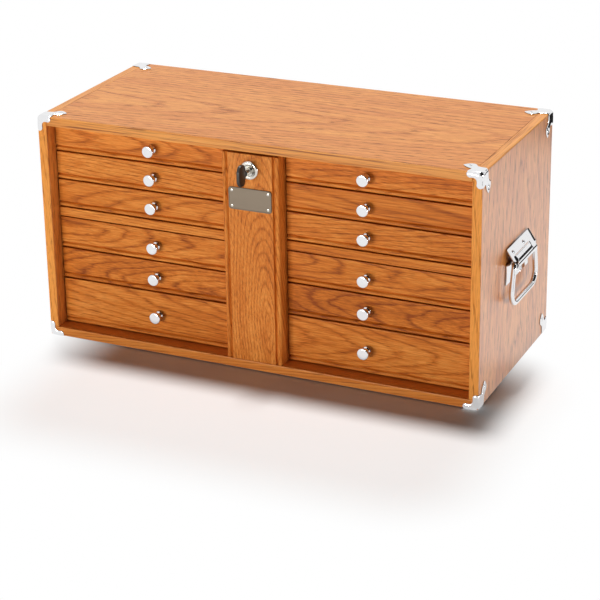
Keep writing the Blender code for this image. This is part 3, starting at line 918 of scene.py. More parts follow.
@dataclass
class Assembly:
    """A sub-assembly, which keeps its finished pieces until they go to their bodies."""

    kept: list[tuple[bpy.types.Object, str, str, tuple[str, ...]]] = field(init=False, default_factory=list)

    def build(self) -> None:
        """Make the pieces."""
        raise NotImplementedError

    def keep(self, piece: bpy.types.Object, slot: str, *nodes: str, body: str = "chest") -> None:
        """Note a finished piece, its slot if it has one, the nodes it stands in for and its body."""
        self.kept.append((piece, slot, body, nodes))

    def dress(self) -> None:
        """Give the pieces to their bodies."""
        for piece, slot, body, nodes in self.kept:
            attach(piece, body)
            if nodes:
                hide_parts(*nodes)
            LOG.info("%s rides on %s", piece.name, body)


@dataclass
class Case(Assembly):
    """Boards of the case, with the runners on its sides."""

    finish: Finish
    board_t: float = 12 * MM
    lipping: float = 1.8 * MM  # solid strip along the top edge of a side
    lip_ease: Pair = (0.12 * MM, 1.0 * MM)  # its inner and outer upper edge
    edging: float = 1.4 * MM  # solid strip down a side's front edge
    front_strip: float = 3.0 * MM  # solid strip along the front edge of the top and the bottom
    corner_room: Pair = (2.6 * MM, 1.8 * MM)  # how far the strips stop short under the corner brackets
    veneer: float = 0.8 * MM  # skin that covers a side and the end of the bottom board
    joint: float = 0.3 * MM  # line that shows beside the edging and under the lipping
    rail: float = 55 * MM  # depth of the shelf's front rails
    runner: Pair = (4 * MM, 6 * MM)  # reach and height
    # A strip cut far from the pith, which shows straight lines only.
    straight: ClassVar[dict[str, float]] = {"depth": 0.16, "lean": 0.004, "drift": 0.004, "tone": 0.16}

    def build(self) -> None:
        """Make the boards."""
        self.top()
        self.bottom()
        back = Shaper().plank("back", *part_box("back_panel"), Axis.X, Axis.Y, ease=0.6 * MM)
        self.keep(back.piece("back_board", self.finish.case), "oak_case", "back_panel")
        for hand in Hand:
            self.side(hand)
        self.shelf()
        divider = Shaper().node("centre_divider")
        divider.stamp(Cut.pick("divider", *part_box("centre_divider"), Axis.Z, Axis.X))
        self.keep(divider.piece("centre_divider_boards", self.finish.case), "oak_case", "centre_divider")

    def top(self) -> None:
        """Make the top board and the strip along its front edge."""
        low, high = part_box("top_panel")
        seam = low.y + self.front_strip
        cut = Cut.pick(
            "top", low, high, Axis.X, Axis.Z, pith=-0.02, depth=0.07, lean=0.06, drift=0.05, tone=0.04)
        made = Shaper().board((low.x, seam + SEAM, low.z), high, cut, ease=0.15 * MM)
        self.keep(made.piece("top_board", self.finish.top), "oak_top", "top_panel")
        made = Shaper().plank(
            "top strip", low, (high.x, seam, high.z), Axis.X, Axis.Z,
            ease=1.1 * MM, steps=3, **self.straight,
        )
        self.keep(made.piece("top_front_strip", self.finish.top), "oak_top", "top_panel")

    def bottom(self) -> None:
        """Make the bottom board with the strip along its front edge."""
        low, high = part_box("bottom_panel")
        seam, skin = low.y + self.front_strip, Vector((self.veneer + SEAM, 0, 0))
        made = Shaper().plank(
            "bottom", low, (high.x, seam, high.z), Axis.X, Axis.Z, ease=1.2 * MM, steps=3, tone=0.1)
        start = Vector((low.x, seam + SEAM, low.z)) + skin
        # Painted light: the ledge under the top's overhang gets a far paler tone than the rest of the board,
        # so that it reads as lit though it lies in shade.
        made.plank("bottom ledge", start, high - skin, Axis.X, Axis.Z, ease=0.4 * MM, tone=0.45)
        self.keep(made.piece("bottom_board", self.finish.case), "oak_case", "bottom_panel")

    def side(self, hand: Hand) -> None:
        """Make a side board with its veneer, edging, lipping and runners.

        Args:
            hand: Side of the chest.
        """
        node = f"{hand.tag}_side_panel"
        low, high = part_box(node)
        outer = max(abs(low.x), abs(high.x))
        inner = outer - self.board_t
        x0, x1 = hand.span(inner, outer)
        seam, band = high.z - self.lipping, low.y + self.edging
        core, skin = hand.span(inner, outer - self.veneer - SEAM), hand.span(outer - self.veneer, outer)
        a, b = Vector((core[0], band + self.joint, low.z)), Vector((core[1], high.y, seam - self.joint))
        cut = Cut.pick(
            f"{hand.tag} side", a, b, Axis.Z, Axis.X, pith=0.02, depth=0.06, lean=0.1, drift=0.03, tone=0.08)
        made = Shaper().board(a, b, cut, ease=0.4 * MM)
        made.board((skin[0], a.y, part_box("bottom_panel")[0].z), (skin[1], b.y, b.z), cut, ease=0.35 * MM)
        back, down = self.corner_room
        strip = Shaper().plank(
            f"{hand.tag} edging", (x0, low.y, low.z), (x1, band, seam - down), Axis.Z, Axis.Y,
            ease=0.6 * MM, tone=0.46,
        )
        self.keep(strip.piece(f"{hand.tag}_side_edging", self.finish.front), "oak_drawer_front", node)
        a, b = Vector((x0, low.y + back, seam)), Vector((x1, high.y - back, high.z))
        cut = Cut.pick(f"{hand.tag} lipping", a, b, Axis.Y, Axis.Z, **self.straight)
        flush, ease = self.lip_ease
        profile = [(inner, seam), (inner, b.z - flush), (inner + flush, b.z)]
        profile += [*arc((outer - ease, b.z - ease), ease, 90, 0, 4), (outer, seam)]
        strip = Shaper().moulding([(hand.value * x, z) for x, z in profile], Axis.Y, a.y, b.y, cut)
        self.keep(strip.piece(f"{hand.tag}_side_lipping", self.finish.top), "oak_top", node)
        reach, tall = self.runner
        x0, x1 = hand.span(inner - reach, inner - SEAM)
        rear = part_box("back_panel")[0].y - GAP
        for row in ROWS:
            low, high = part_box(f"{hand.tag}_drawer_{row}_box")
            middle = (low.z + high.z) / 2
            made.plank(
                f"{hand.tag} runner {row}", (x0, low.y, middle - tall / 2), (x1, rear, middle + tall / 2),
                Axis.Y, Axis.X, ease=0.5 * MM,
            )
        self.keep(made.piece(f"{hand.tag}_side_board", self.finish.side), "oak_side", node)

    def shelf(self) -> None:
        """Make the shelf: two front rails and the board behind them."""
        low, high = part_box("mid_shelf")
        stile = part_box("lock_panel")[1].x + GAP
        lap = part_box("left_drawer_1_front")[0].y + self.rail
        made = Shaper()
        for hand in Hand:
            x0, x1 = hand.span(stile, high.x)
            made.plank(
                f"{hand.tag} rail", (x0, low.y, low.z), (x1, lap, high.z), Axis.X, Axis.Y, ease=0.9 * MM)
        made.plank("shelf", (low.x, lap + SEAM, low.z), high, Axis.X, Axis.Z, ease=0.4 * MM)
        self.keep(made.piece("middle_shelf_boards", self.finish.front), "oak_drawer_front", "mid_shelf")


@dataclass
class Drawer(Assembly):
    """One drawer: beaded front, box of boards, felt liner and knob."""

    finish: Finish
    hand: Hand
    row: int
    bead: Bead = Bead(5.4 * MM, 158)
    face_ease: float = 1.1 * MM
    foot_rise: float = 0.2 * MM  # how much the front's foot rises towards its back
    wall: float = 8 * MM
    wall_ease: float = 0.6 * MM
    floor_t: float = 4 * MM
    channel: Pair = (3.4 * MM, 6.8 * MM)  # depth and height of the groove for the runner
    felt_t: float = 0.9 * MM
    felt_lift: float = 0.1 * MM  # hairline between the felt and the floor of the box
    felt_room: float = 0.6 * MM  # how far the felt stays off the walls
    liner: bpy.types.Object = field(init=False)
    cloth: Pair = field(init=False)  # flat size of the felt
    # Fronts that the eye picks out: darker ones, and flame-figured ones whose rings run out along the board.
    boards: ClassVar[dict[tuple[Hand, int], dict[str, float]]] = {
        (Hand.RIGHT, 2): {"tone": -0.12},
        (Hand.LEFT, 4): {"lean": 0.08, "depth": 0.035, "pith": 0.01, "tone": 0.0},
        (Hand.LEFT, 5): {"lean": -0.11, "depth": 0.03, "pith": -0.008, "tone": -0.13},
        (Hand.RIGHT, 4): {"lean": 0.07, "depth": 0.04, "pith": 0.012, "tone": -0.05},
        (Hand.RIGHT, 5): {"lean": -0.12, "depth": 0.03, "pith": 0.0, "tone": -0.22},
    }

    @property
    def body(self) -> str:
        """Name of the drawer's body."""
        return f"{self.hand.tag}_drawer_{self.row}"

    def build(self) -> None:
        """Make the drawer's pieces."""
        for piece, node, slot in (
            (self.face(), "front", "oak_drawer_front"),
            (self.box(), "box", "pale_drawer_wood"),
            (self.knob(), "knob", "chrome"),
        ):
            self.keep(piece, slot, f"{self.body}_{node}", body=self.body)
        self.liner = self.felt()
        self.keep(self.liner, "", body=self.body)

    def face(self) -> bpy.types.Object:
        """Make the front with a rounded bead along its foot.

        Returns:
            The piece.
        """
        low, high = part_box(f"{self.body}_front")
        y, z, ease = low.y, low.z, self.face_ease
        profile = arc((y + ease, high.z - ease), ease, 180, 90, 4)
        profile += [(high.y, high.z), (high.y, z + self.foot_rise)]
        profile += [(y + behind, z + up) for up, behind in self.bead.outline()]
        chosen = self.boards.get((self.hand, self.row), {})
        wood = self.finish.flame if "lean" in chosen else self.finish.front
        cut = Cut.pick(f"{self.body} face", low, high, Axis.X, Axis.Y, **chosen)
        return Shaper().moulding(profile, Axis.X, low.x, high.x, cut).piece(f"{self.body}_face", wood)

    def box(self) -> bpy.types.Object:
        """Make the box from four boards and a bottom.

        Returns:
            The piece.
        """
        low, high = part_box(f"{self.body}_box")
        made, ease = Shaper(), self.wall_ease
        depth, tall = self.channel
        foot, head = ((low.z + high.z) / 2 + way * tall / 2 for way in (-1, 1))
        for sign, x in ((1, low.x), (-1, high.x)):
            inner = x + sign * self.wall
            profile = [
                (x + sign * ease, low.z), (inner - sign * ease, low.z), (inner, low.z + ease),
                (inner, high.z - ease), (inner - sign * ease, high.z), (x + sign * ease, high.z),
                (x, high.z - ease), (x, head), (x + sign * depth, head), (x + sign * depth, foot),
                (x, foot), (x, low.z + ease),
            ]
            cut = Cut.pick(f"{self.body} wall {sign}", low, high, Axis.Y, Axis.X)
            made.moulding(profile, Axis.Y, low.y, high.y, cut, ease=0.5 * MM)
        x0, x1 = low.x + self.wall + SEAM, high.x - self.wall - SEAM
        for name, y0, y1 in (("fore", low.y, low.y + self.wall), ("rear", high.y - self.wall, high.y)):
            made.plank(f"{self.body} {name}", (x0, y0, low.z), (x1, y1, high.z), Axis.X, Axis.Y, ease)
        y0, y1 = low.y + self.wall + SEAM, high.y - self.wall - SEAM
        made.plank(
            f"{self.body} bottom", (x0, y0, low.z), (x1, y1, low.z + self.floor_t), Axis.X, Axis.Z,
            ease=0.3 * MM,
        )
        return made.piece(f"{self.body}_tray", self.finish.tray)

    def felt(self) -> bpy.types.Object:
        """Make the felt that lies in the box.

        Returns:
            The piece.
        """
        low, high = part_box(f"{self.body}_box")
        inset = self.wall + self.felt_room
        z = low.z + self.floor_t + self.felt_lift
        self.cloth = (high.x - low.x - 2 * inset, high.y - low.y - 2 * inset)
        return Shaper().board(
            (low.x + inset, low.y + inset, z), (high.x - inset, high.y - inset, z + self.felt_t),
            ease=0.3 * MM,
        ).piece(f"{self.body}_felt", self.finish.felt)

    def knob(self) -> bpy.types.Object:
        """Make the knob: a flat face with a rounded rim on a waisted neck.

        Returns:
            The piece.
        """
        low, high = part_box(f"{self.body}_knob")
        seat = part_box(f"{self.body}_front")[0].y - GAP
        centre = Vector(((low.x + high.x) / 2, seat, (low.z + high.z) / 2))
        r, out = (high.x - low.x) / 2 / MM, (seat - low.y) / MM
        head = [  # share of the radius, and millimetres behind the face
            (0, 0), (0.62, 0), (0.8, 0.08), (0.9, 0.3), (0.97, 0.8), (1, 1.5), (0.99, 2.4), (0.93, 3.3),
            (0.8, 4.2), (0.62, 5.2), (0.5, 6.4), (0.46, 8.2),
        ]
        foot = [  # share of the radius, and millimetres before the seat
            (0.48, 3.4), (0.56, 2.2), (0.7, 1.6), (0.74, 1.0), (0.72, 0.3), (0.68, 0), (0, 0),
        ]
        profile = [(a * r, out - b) for a, b in head] + [(a * r, b) for a, b in foot]
        made = Shaper().turned(scaled(profile), centre, Vector((0, -1, 0)))
        return made.piece(f"{self.body}_turned_knob", self.finish.chrome, sharp=50)

    def dress(self) -> None:
        """Give the pieces to the drawer."""
        super().dress()


@dataclass
class LockPanel(Assembly):
    """The panel between the drawers, with its name plate, lock and key."""

    finish: Finish
    thick: float = 17 * MM
    bead: Bead = Bead(6.2 * MM, 112)
    back_ease: float = 0.9 * MM
    hole: float = 9.5 * MM  # radius of the lock's hole
    bore: Pair = (-5 * MM, 30 * MM)  # where its cutter starts and stops, behind the panel's face
    cleat: Triple = (18 * MM, 30 * MM, 42 * MM)  # half width, then foot and head over the panel's foot
    cleat_in: float = 1 * MM  # how deep the cleat runs into the panel
    plate_r: float = 3.8 * MM
    plate_sink: float = 0.35 * MM  # how deep the plate's field lies behind its rim
    plate_screw: Pair = (4.6 * MM, 4.4 * MM)  # place of a screw in from the plate's corner
    bow_long: float = 18 * MM
    bow_cut: float = 6.2 * MM  # height of the bow's sloping corners
    bow_slant: Pair = (0.8, 0.7)  # their length in front and behind, in heights
    bow_r: float = 2.4 * MM
    collar: Pair = (4.6 * MM, 11.4 * MM)  # radius and length
    blade: Pair = (1 * MM, 4 * MM)  # half thickness and half height

    def build(self) -> None:
        """Make the panel's pieces."""
        for piece, body, slot, node in (
            (self.panel(), "lock_panel", "oak_lock_panel", "lock_panel"),
            (self.plate(), "lock_panel", "plate_metal", "name_plate"),
            (self.flange(), "lock_panel", "nickel_lock", "lock_body"),
            (self.plug(), "lock_plug", "nickel_lock", "lock_plug"),
            (self.key_bow(), "key", "black_plastic", "key"),
            (self.key_blade(), "key", "nickel_lock", "key"),
        ):
            self.keep(piece, slot, node, body=body)

    @property
    def lock(self) -> Vector:
        """Middle of the lock on the panel's face."""
        low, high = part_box("lock_body")
        return Vector((0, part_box("lock_panel")[0].y, (low.z + high.z) / 2))

    def panel(self) -> bpy.types.Object:
        """Make the panel with beaded edges, its lock hole and the cleat behind.

        Returns:
            The piece.
        """
        low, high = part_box("lock_panel")
        half, y, back, ease = high.x, low.y, low.y + self.thick, self.back_ease
        right = arc((half - ease, back - ease), ease, 90, 0, 3)
        right += [(half - inward, y + behind) for inward, behind in self.bead.outline()]
        profile = right + [(-x, b) for x, b in reversed(right)]
        wood = self.finish.panel
        board = Shaper().moulding(profile, Axis.Z, low.z, high.z, ease=0.5 * MM)
        made = board.piece("lock_panel_board", wood)
        side, foot, head = self.cleat
        cleat = Shaper().board(
            (-side, back - self.cleat_in, low.z + foot), (side, high.y, low.z + head), ease=0.5 * MM)
        join(made, cleat.piece("cleat", wood), Merge.UNITE)
        start, stop = self.bore
        hole = [(0, start), (self.hole, start), (self.hole, stop), (0, stop)]
        join(made, Shaper().turned(hole, self.lock, Vector((0, 1, 0))).piece("bore", wood), Merge.CUT)
        cut = Cut.pick(
            "lock panel", low, high, Axis.Z, Axis.Y, pith=0.016, depth=0.03, lean=0.2, drift=-0.05, tone=0.02)
        spots, tones = (made.data.attributes[key].data for key in ("log", "tone"))
        for vert, spot, tone in zip(made.data.vertices, spots, tones):
            spot.vector, tone.value = cut.spot(vert.co), cut.tone
        return made

    def plate(self) -> bpy.types.Object:
        """Make the plate: round corners, a raised rim and a bare field.

        Returns:
            The piece.
        """
        low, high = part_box("name_plate")
        outline: list[Pair] = []
        r = self.plate_r
        for x, z, start in (
            (high.x - r, high.z - r, 0), (low.x + r, high.z - r, 90),
            (low.x + r, low.z + r, 180), (high.x - r, low.z + r, 270),
        ):
            outline += arc((x, z), r, start, start + 90, 8)
        rings = []
        for inset, y in (  # millimetres in from the edge, from the back round the rim to the field
            (0.25, high.y), (0, high.y - 0.25 * MM), (0, low.y + 0.3 * MM), (0.3, low.y), (1.15, low.y),
            (1.45, low.y + self.plate_sink),
        ):
            rings.append([Vector((x, y, z)) for x, z in shrink(outline, inset * MM)])
        return Shaper().loops(rings).stamp(None).piece("bare_name_plate", self.finish.plate, sharp=30)

    def flange(self) -> bpy.types.Object:
        """Make the lock's body: stepped flange in front, barrel through the panel.

        Returns:
            The piece.
        """
        low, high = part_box("lock_body")
        at = self.lock
        r, out, back = (high.x - low.x) / 2 / MM, (at.y - low.y) / MM, (high.y - at.y) / MM
        profile = [  # radius, and millimetres before the panel's face
            (6.85, -back + 0.4), (6.85, out - 1.2), (7.1, out - 0.7), (7.7, out - 0.5), (8.0, out - 0.1),
            (8.6, out), (10.3, out - 0.15), (11.2, out - 0.6), (11.9, out - 1.4), (r, out - 2.3), (r, 0.5),
            (r - 0.3, 0.3), (9.2, 0.3), (9.2, -back + 0.3), (8.9, -back), (7.1, -back),
        ]
        made = Shaper().turned(scaled(profile), at, Vector((0, -1, 0)), steps=56, closed=True)
        return made.piece("lock_flange_barrel", self.finish.nickel, sharp=35)

    def plug(self) -> bpy.types.Object:
        """Make the plug from its node, smooth shaded."""
        return Shaper().node("lock_plug").piece("lock_plug_cam", self.finish.nickel, sharp=35)

    def key_bow(self) -> bpy.types.Object:
        """Make the key's moulded bow.

        Returns:
            The piece.
        """
        low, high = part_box("key")
        z, y0, y1, cut = self.lock.z, low.y, low.y + self.bow_long, self.bow_cut
        half_t, half_h = (high.x - low.x) / 2, (high.z - low.z) / 2
        slant = self.bow_slant
        fore, rear = y0 + cut * slant[0], y1 - cut * slant[1]
        outline = rounded([
            (y1, z - half_h + cut), (y1, z + half_h - cut), (rear, z + half_h), (fore, z + half_h),
            (y0, z + half_h - cut), (y0, z - half_h + cut), (fore, z - half_h), (rear, z - half_h),
        ], self.bow_r)
        rings = []
        for inset, x in (  # millimetres in from the outline, from one face to the other
            (1.1, -half_t), (0.35, -half_t + 0.25 * MM), (0, -half_t + 0.9 * MM), (0, half_t - 0.9 * MM),
            (0.35, half_t - 0.25 * MM), (1.1, half_t),
        ):
            rings.append([Vector((x, a, b)) for a, b in shrink(outline, inset * MM)])
        return Shaper().loops(rings).stamp(None).piece("key_moulded_bow", self.finish.plastic, sharp=40)

    def key_blade(self) -> bpy.types.Object:
        """Make the key's blade with its round collar.

        Returns:
            The piece.
        """
        low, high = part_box("key")
        z, start = self.lock.z, low.y + self.bow_long
        (r, long), (half_t, half_h) = self.collar, self.blade
        waist = r - 0.5 * MM
        profile = [  # radius, and distance behind the bow
            (0, 0.1 * MM), (waist, 0.1 * MM), (r, 0.6 * MM), (r, 0.35 * long), (waist, 0.4 * long),
            (waist, 0.5 * long), (r, 0.55 * long), (r, long - 0.5 * MM), (waist, long), (0, long),
        ]
        made = Shaper().board(
            (-half_t, start + long, z - half_h), (half_t, high.y, z + half_h), ease=0.3 * MM)
        made.turned(profile, Vector((0, start, z)), Vector((0, 1, 0)))
        return made.piece("key_blade_collar", self.finish.nickel, sharp=35)

    @property
    def screws(self) -> list[Fixing]:
        """Set out the screws of the plate.

        Returns:
            Places and directions.
        """
        low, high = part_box("name_plate")
        along, up = self.plate_screw
        spots = product((low.x + along, high.x - along), (low.z + up, high.z - up))
        return [(Vector((x, low.y + self.plate_sink, z)), Vector((0, -1, 0))) for x, z in spots]


@dataclass
class CornerBracket(Assembly):
    """A pressed bracket on one corner: three crowned leaves bent from one sheet."""

    finish: Finish
    hand: Hand
    end: Depth
    level: Level
    sheet: float = 0.35 * MM
    stand: float = 1.3 * MM  # room between the seat and the outside of the node
    rim: float = 0.4 * MM
    crown: Pair = (0.8 * MM, 4.2 * MM)  # height and width of the rounded edge
    bend: float = 3.0 * MM
    ball: Pair = (1.2 * MM, 0.1 * MM)  # growth of the bend and of the height at the corner itself
    ball_fade: Pair = (5 * MM, 11 * MM)  # distances from the corner between which that growth ends
    lobe: float = 19 * MM
    pitch: float = 0.95 * MM
    cells: int = 36  # pitches that cover a leaf
    clear: float = 0.5  # least room between the grid and the rim, in pitches
    ear: tuple[Pair, ...] = (
        (19, 0), (19.3, 3.0), (18.6, 6.4), (17.6, 9.2), (18.4, 11.6), (22.4, 13.2), (27.0, 16.4),
        (30.4, 20.0), (31.0, 21.4), (29.4, 23.6), (25.0, 27.2), (20.6, 28.6), (16.8, 27.0), (14.6, 23.6),
        (12.2, 21.0), (8.6, 20.0), (4.0, 19.6), (0, 19),
    )
    scallop: tuple[Pair, ...] = (
        (19, 0), (19.6, 2.2), (18.9, 5.0), (16.4, 6.9), (13.2, 6.7), (10.2, 7.0), (8.2, 8.2),
        (7.0, 10.2), (6.7, 13.2), (6.9, 16.4), (5.0, 18.9), (2.2, 19.6), (0, 19),
    )
    screw: Pair = (22.6 * MM, 20.8 * MM)
    dish: float = 3.6 * MM  # radius of the flat that the screw sits on
    dish_edge: int = 8  # how steeply the sheet rises round it

    @property
    def node(self) -> str:
        """Name of the bracket's node."""
        return f"{self.end.tag}_{self.level.tag}_{self.hand.tag}_bracket"

    @cached_property
    def seat(self) -> tuple[Vector, Vector]:
        """Find the corner that the bracket sits on.

        Returns:
            The corner, and the directions that lead inwards from it.
        """
        low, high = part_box(self.node)
        inward = Vector((-self.hand.value, self.end.value, self.level.value))
        outer = Vector(low[i] if inward[i] > 0 else high[i] for i in range(3))
        return outer + inward * self.stand, inward

    def raised(self, flat: Vector, height: float) -> Vector:
        """Point above the seat, round the bends.

        Args:
            flat: Distances inwards on a sharp-cornered seat.
            height: Height over the seat.

        Returns:
            The point in the chest's frame.
        """
        near = 1 - fade(flat.length, *self.ball_fade)
        bend = self.bend + self.ball[0] * near
        heart = Vector(max(c, bend) for c in flat)
        out = (flat - heart).normalized()
        base, inward = self.seat
        spot = heart + out * (bend + height + self.ball[1] * near)
        return base + Vector(a * b for a, b in zip(spot, inward))

    @classmethod
    @lru_cache(maxsize=2)
    def leaf(cls, eared: bool) -> tuple[list[tuple[Vector, float]], list[list[int]]]:
        """Fill one leaf with small triangles.

        Args:
            eared: Whether it is the leaf with an ear and a screw, or the scalloped one.

        Returns:
            Points on the leaf with their heights, and triangles.
        """
        line = smooth_line(scaled(cls.ear if eared else cls.scallop), 3)
        count = round(cls.lobe / cls.pitch)
        steps = [cls.lobe * i / count for i in range(count)]
        rim = [(a, 0.0) for a in steps] + line + [(0.0, a) for a in reversed(steps[1:])]
        edge = [Vector(p) for p in line]
        grid = []
        for i, j in product(range(1, cls.cells), repeat=2):
            spot = Vector((i * cls.pitch, j * cls.pitch))
            if inside(spot, rim) and min((spot - Vector(p)).length for p in rim) > cls.clear * cls.pitch:
                grid.append(spot)
        within, close = 1, 1e-7  # only triangles inside the rim stay, and points this close are one
        points, _, faces, *_ = delaunay_2d_cdt(
            [Vector(p) for p in rim] + grid, [], [list(range(len(rim)))], within, close)
        made = []
        high, wide = cls.crown
        for spot in points:
            near = min(gap_to(spot, a, b) for a, b in zip(edge, edge[1:]))
            share = 1 - min(near / wide, 1)
            height = cls.rim + high * math.sqrt(max(0.0, 1 - share * share))
            if eared:
                sunk = math.exp(-(((spot - Vector(cls.screw)).length / cls.dish) ** cls.dish_edge))
                height += (cls.rim - height) * sunk
            made.append((spot, height))
        return made, faces

    def build(self) -> None:
        """Press the three leaves and thicken the sheet."""
        made = Shaper()
        for eared, spread in (
            (True, lambda a, b: (a, b, 0)), (True, lambda a, b: (0, b, a)), (False, lambda a, b: (a, 0, b)),
        ):
            points, faces = self.leaf(eared)
            verts = [made.bm.verts.new(self.raised(Vector(spread(*spot)), height)) for spot, height in points]
            for face in faces:
                made.bm.faces.new([verts[i] for i in face])
        bmesh.ops.remove_doubles(made.bm, verts=made.bm.verts, dist=0.15 * MM)
        bmesh.ops.recalc_face_normals(made.bm, faces=made.bm.faces)
        _, inward = self.seat
        if sum((face.normal.dot(inward) * face.calc_area() for face in made.bm.faces), 0.0) > 0:
            bmesh.ops.reverse_faces(made.bm, faces=made.bm.faces)
        piece = made.stamp(None).piece(f"{self.node}_sheet", self.finish.chrome, outward=False)
        thicken(piece, self.sheet)
        soften(piece, sharp=55)
        self.keep(piece, "chrome", self.node)

    @property
    def screws(self) -> list[Fixing]:
        """Set out the screws in the two ears.

        Returns:
            Places and directions.
        """
        along, deep = self.screw
        _, inward = self.seat
        return [
            (self.raised(Vector((along, deep, 0)), self.rim), Vector((0, 0, -inward.z))),
            (self.raised(Vector((0, deep, along)), self.rim), Vector((-inward.x, 0, 0))),
        ]


@dataclass
class SideHandle(Assembly):
    """Drop handle on one end: a pressed hood rolled round the bail, a flange, and the bail.

    The hood's shape is given in millimetres: how far up its slope a point lies
    from where it meets the roll, and how far along the handle.
    """

    finish: Finish
    hand: Hand
    sheet: float = 1.2 * MM
    roll: float = 5.5
    roll_turn: Pair = (33.35, 290.0)  # where the roll leaves the hood and how far it turns, in degrees
    roll_half: float = 35.0
    hood_top: float = 22.6
    hood_half: float = 42.0
    hood_low: float = 5.3
    hood_corner: float = 2.5
    shoulder: Pair = (2.5, 5.5)  # stretch of the slope where the roll widens into the hood
    brow: Pair = (33.0, 60.0)  # where the hood's ends start to bend down, and how gently
    emboss: float = 1.9
    emboss_up: Pair = (5.6, 5.2)  # its middle and half length up the slope
    emboss_along: tuple[Pair, Pair] = ((-37.0, -33.5), (17.0, 22.0))  # where it rises and where it falls
    rib: Pair = (0.14, 5.2)  # height and spacing of the ribs on the emboss
    mesh: tuple[int, int, int] = (46, 48, 70)  # steps up the hood, round the roll and along
    flange_t: float = 1.6 * MM
    flange_w: float = 83 * MM
    flange_drop: float = 26.5 * MM
    flange_ease: float = 0.4 * MM
    hook: Pair = (1.6 * MM, 2.2 * MM)  # inner radius of the flange's curl and its drop under the pivot
    hood_screws: tuple[Pair, ...] = ((15.4, -32.0), (15.0, 7.0))
    flange_screw: Pair = (18 * MM, 17 * MM)  # distance along and drop
    rod: float = 3.4 * MM
    bail_end: float = 20 * MM
    bail_leg: float = 39.6 * MM
    bail_bends: Pair = (4.5 * MM, 16 * MM)  # at the pivot and at the grip
    slope: Vector = field(default_factory=lambda: Vector((0.5497, -0.8354)))  # down the hood
    rise: Vector = field(default_factory=lambda: Vector((0.8354, 0.5497)))  # straight out of its face

    @cached_property
    def pivot(self) -> Vector:
        """Find the middle of the bail's pivot.

        Returns:
            The point.
        """
        low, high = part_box(f"{self.hand.tag}_handle_bail")
        x = low.x if self.hand is Hand.LEFT else high.x
        return Vector((x - self.hand.value * self.rod, (low.y + high.y) / 2, high.z - self.rod))

    @property
    def wall(self) -> float:
        """Distance from the middle of the chest to the back of the flange."""
        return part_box("right_side_panel")[1].x + GAP

    def build(self) -> None:
        """Make the bracket and the bail."""
        tag = self.hand.tag
        self.keep(self.pressing(), "chrome", f"{tag}_handle_bracket")
        self.keep(self.loop(), "chrome", f"{tag}_handle_bail", body=f"{tag}_bail")

    def spot(self, off: Vector, along: float) -> Vector:
        """Point of the handle from its distances outwards and up from the pivot, and along."""
        return self.pivot + Vector((self.hand.value * off.x, along, off.y))

    def hood(self, up: float, along: float) -> tuple[Vector, float]:
        """Point of the hood's outer face.

        Args:
            up: Millimetres up the slope; below 0 it is the angle in degrees round the roll.
            along: Share of the half width, from -1 to 1.

        Returns:
            Its distances outwards and up from the pivot, and its place along the handle.
        """
        ease = fade(up, *self.shoulder)
        half = self.roll_half + (self.hood_half - self.roll_half) * ease
        corner = self.hood_corner
        if up > self.hood_top - corner:
            half -= corner - math.sqrt(max(0.0, corner ** 2 - (up - self.hood_top + corner) ** 2))
        y = along * half
        if up < 0:
            turn = math.radians(self.roll_turn[0] + up)
            return Vector((math.cos(turn), math.sin(turn))) * self.roll * MM, y * MM
        height = self.roll + (self.hood_low - self.roll) * ease
        height -= max(0.0, abs(y) - self.brow[0]) ** 2 / self.brow[1] * ease
        (middle, reach), (rising, falling) = self.emboss_up, self.emboss_along
        raised = math.sqrt(max(0.0, 1 - ((up - middle) / reach) ** 2))
        raised *= fade(y, *rising) * (1 - fade(y, *falling))
        height += raised * (self.emboss + self.rib[0] * math.cos(math.tau * up / self.rib[1]))
        return (self.rise * height - self.slope * up) * MM, y * MM

    def pressing(self) -> bpy.types.Object:
        """Make the bracket: the hood with its roll, and the flange below.

        Returns:
            The piece.
        """
        name, chrome, at = f"{self.hand.tag}_handle_pressing", self.finish.chrome, self.pivot
        tall, curl, long = self.mesh
        ups = [self.hood_top * (1 - i / tall) for i in range(tall + 1)]
        ups += [-self.roll_turn[1] * i / curl for i in range(1, curl + 1)]
        made, rows = Shaper(), []
        for up in ups:
            row = [self.spot(*self.hood(up, -1 + 2 * i / long)) for i in range(long + 1)]
            rows.append([made.bm.verts.new(point) for point in row])
        for one, two in zip(rows, rows[1:]):
            for corners in zip(one, one[1:], two[1:], two):
                made.bm.faces.new(corners if self.hand is Hand.LEFT else corners[::-1])
        hood = made.stamp(None).piece(name, chrome, outward=False)
        thicken(hood, self.sheet)
        back, ease, foot = self.wall - abs(at.x), self.flange_ease, -self.flange_drop
        face, (r, drop) = back + self.flange_t, self.hook
        flange = [
            (back, foot + ease), *arc((face + r, -drop), r + self.flange_t, 180, 60, 7),
            *arc((face + r, -drop), r, 60, 180, 5), (face, foot + ease),
            (face - ease, foot), (back + ease, foot),
        ]
        made = Shaper()
        made.bm.from_mesh(hood.data)
        made.stamp(None).moulding(
            [(at.x + self.hand.value * a, at.z + b) for a, b in flange], Axis.Y,
            at.y - self.flange_w / 2, at.y + self.flange_w / 2, ease=0.5 * MM,
        )
        discard(hood)
        return made.piece(name, chrome, sharp=40)

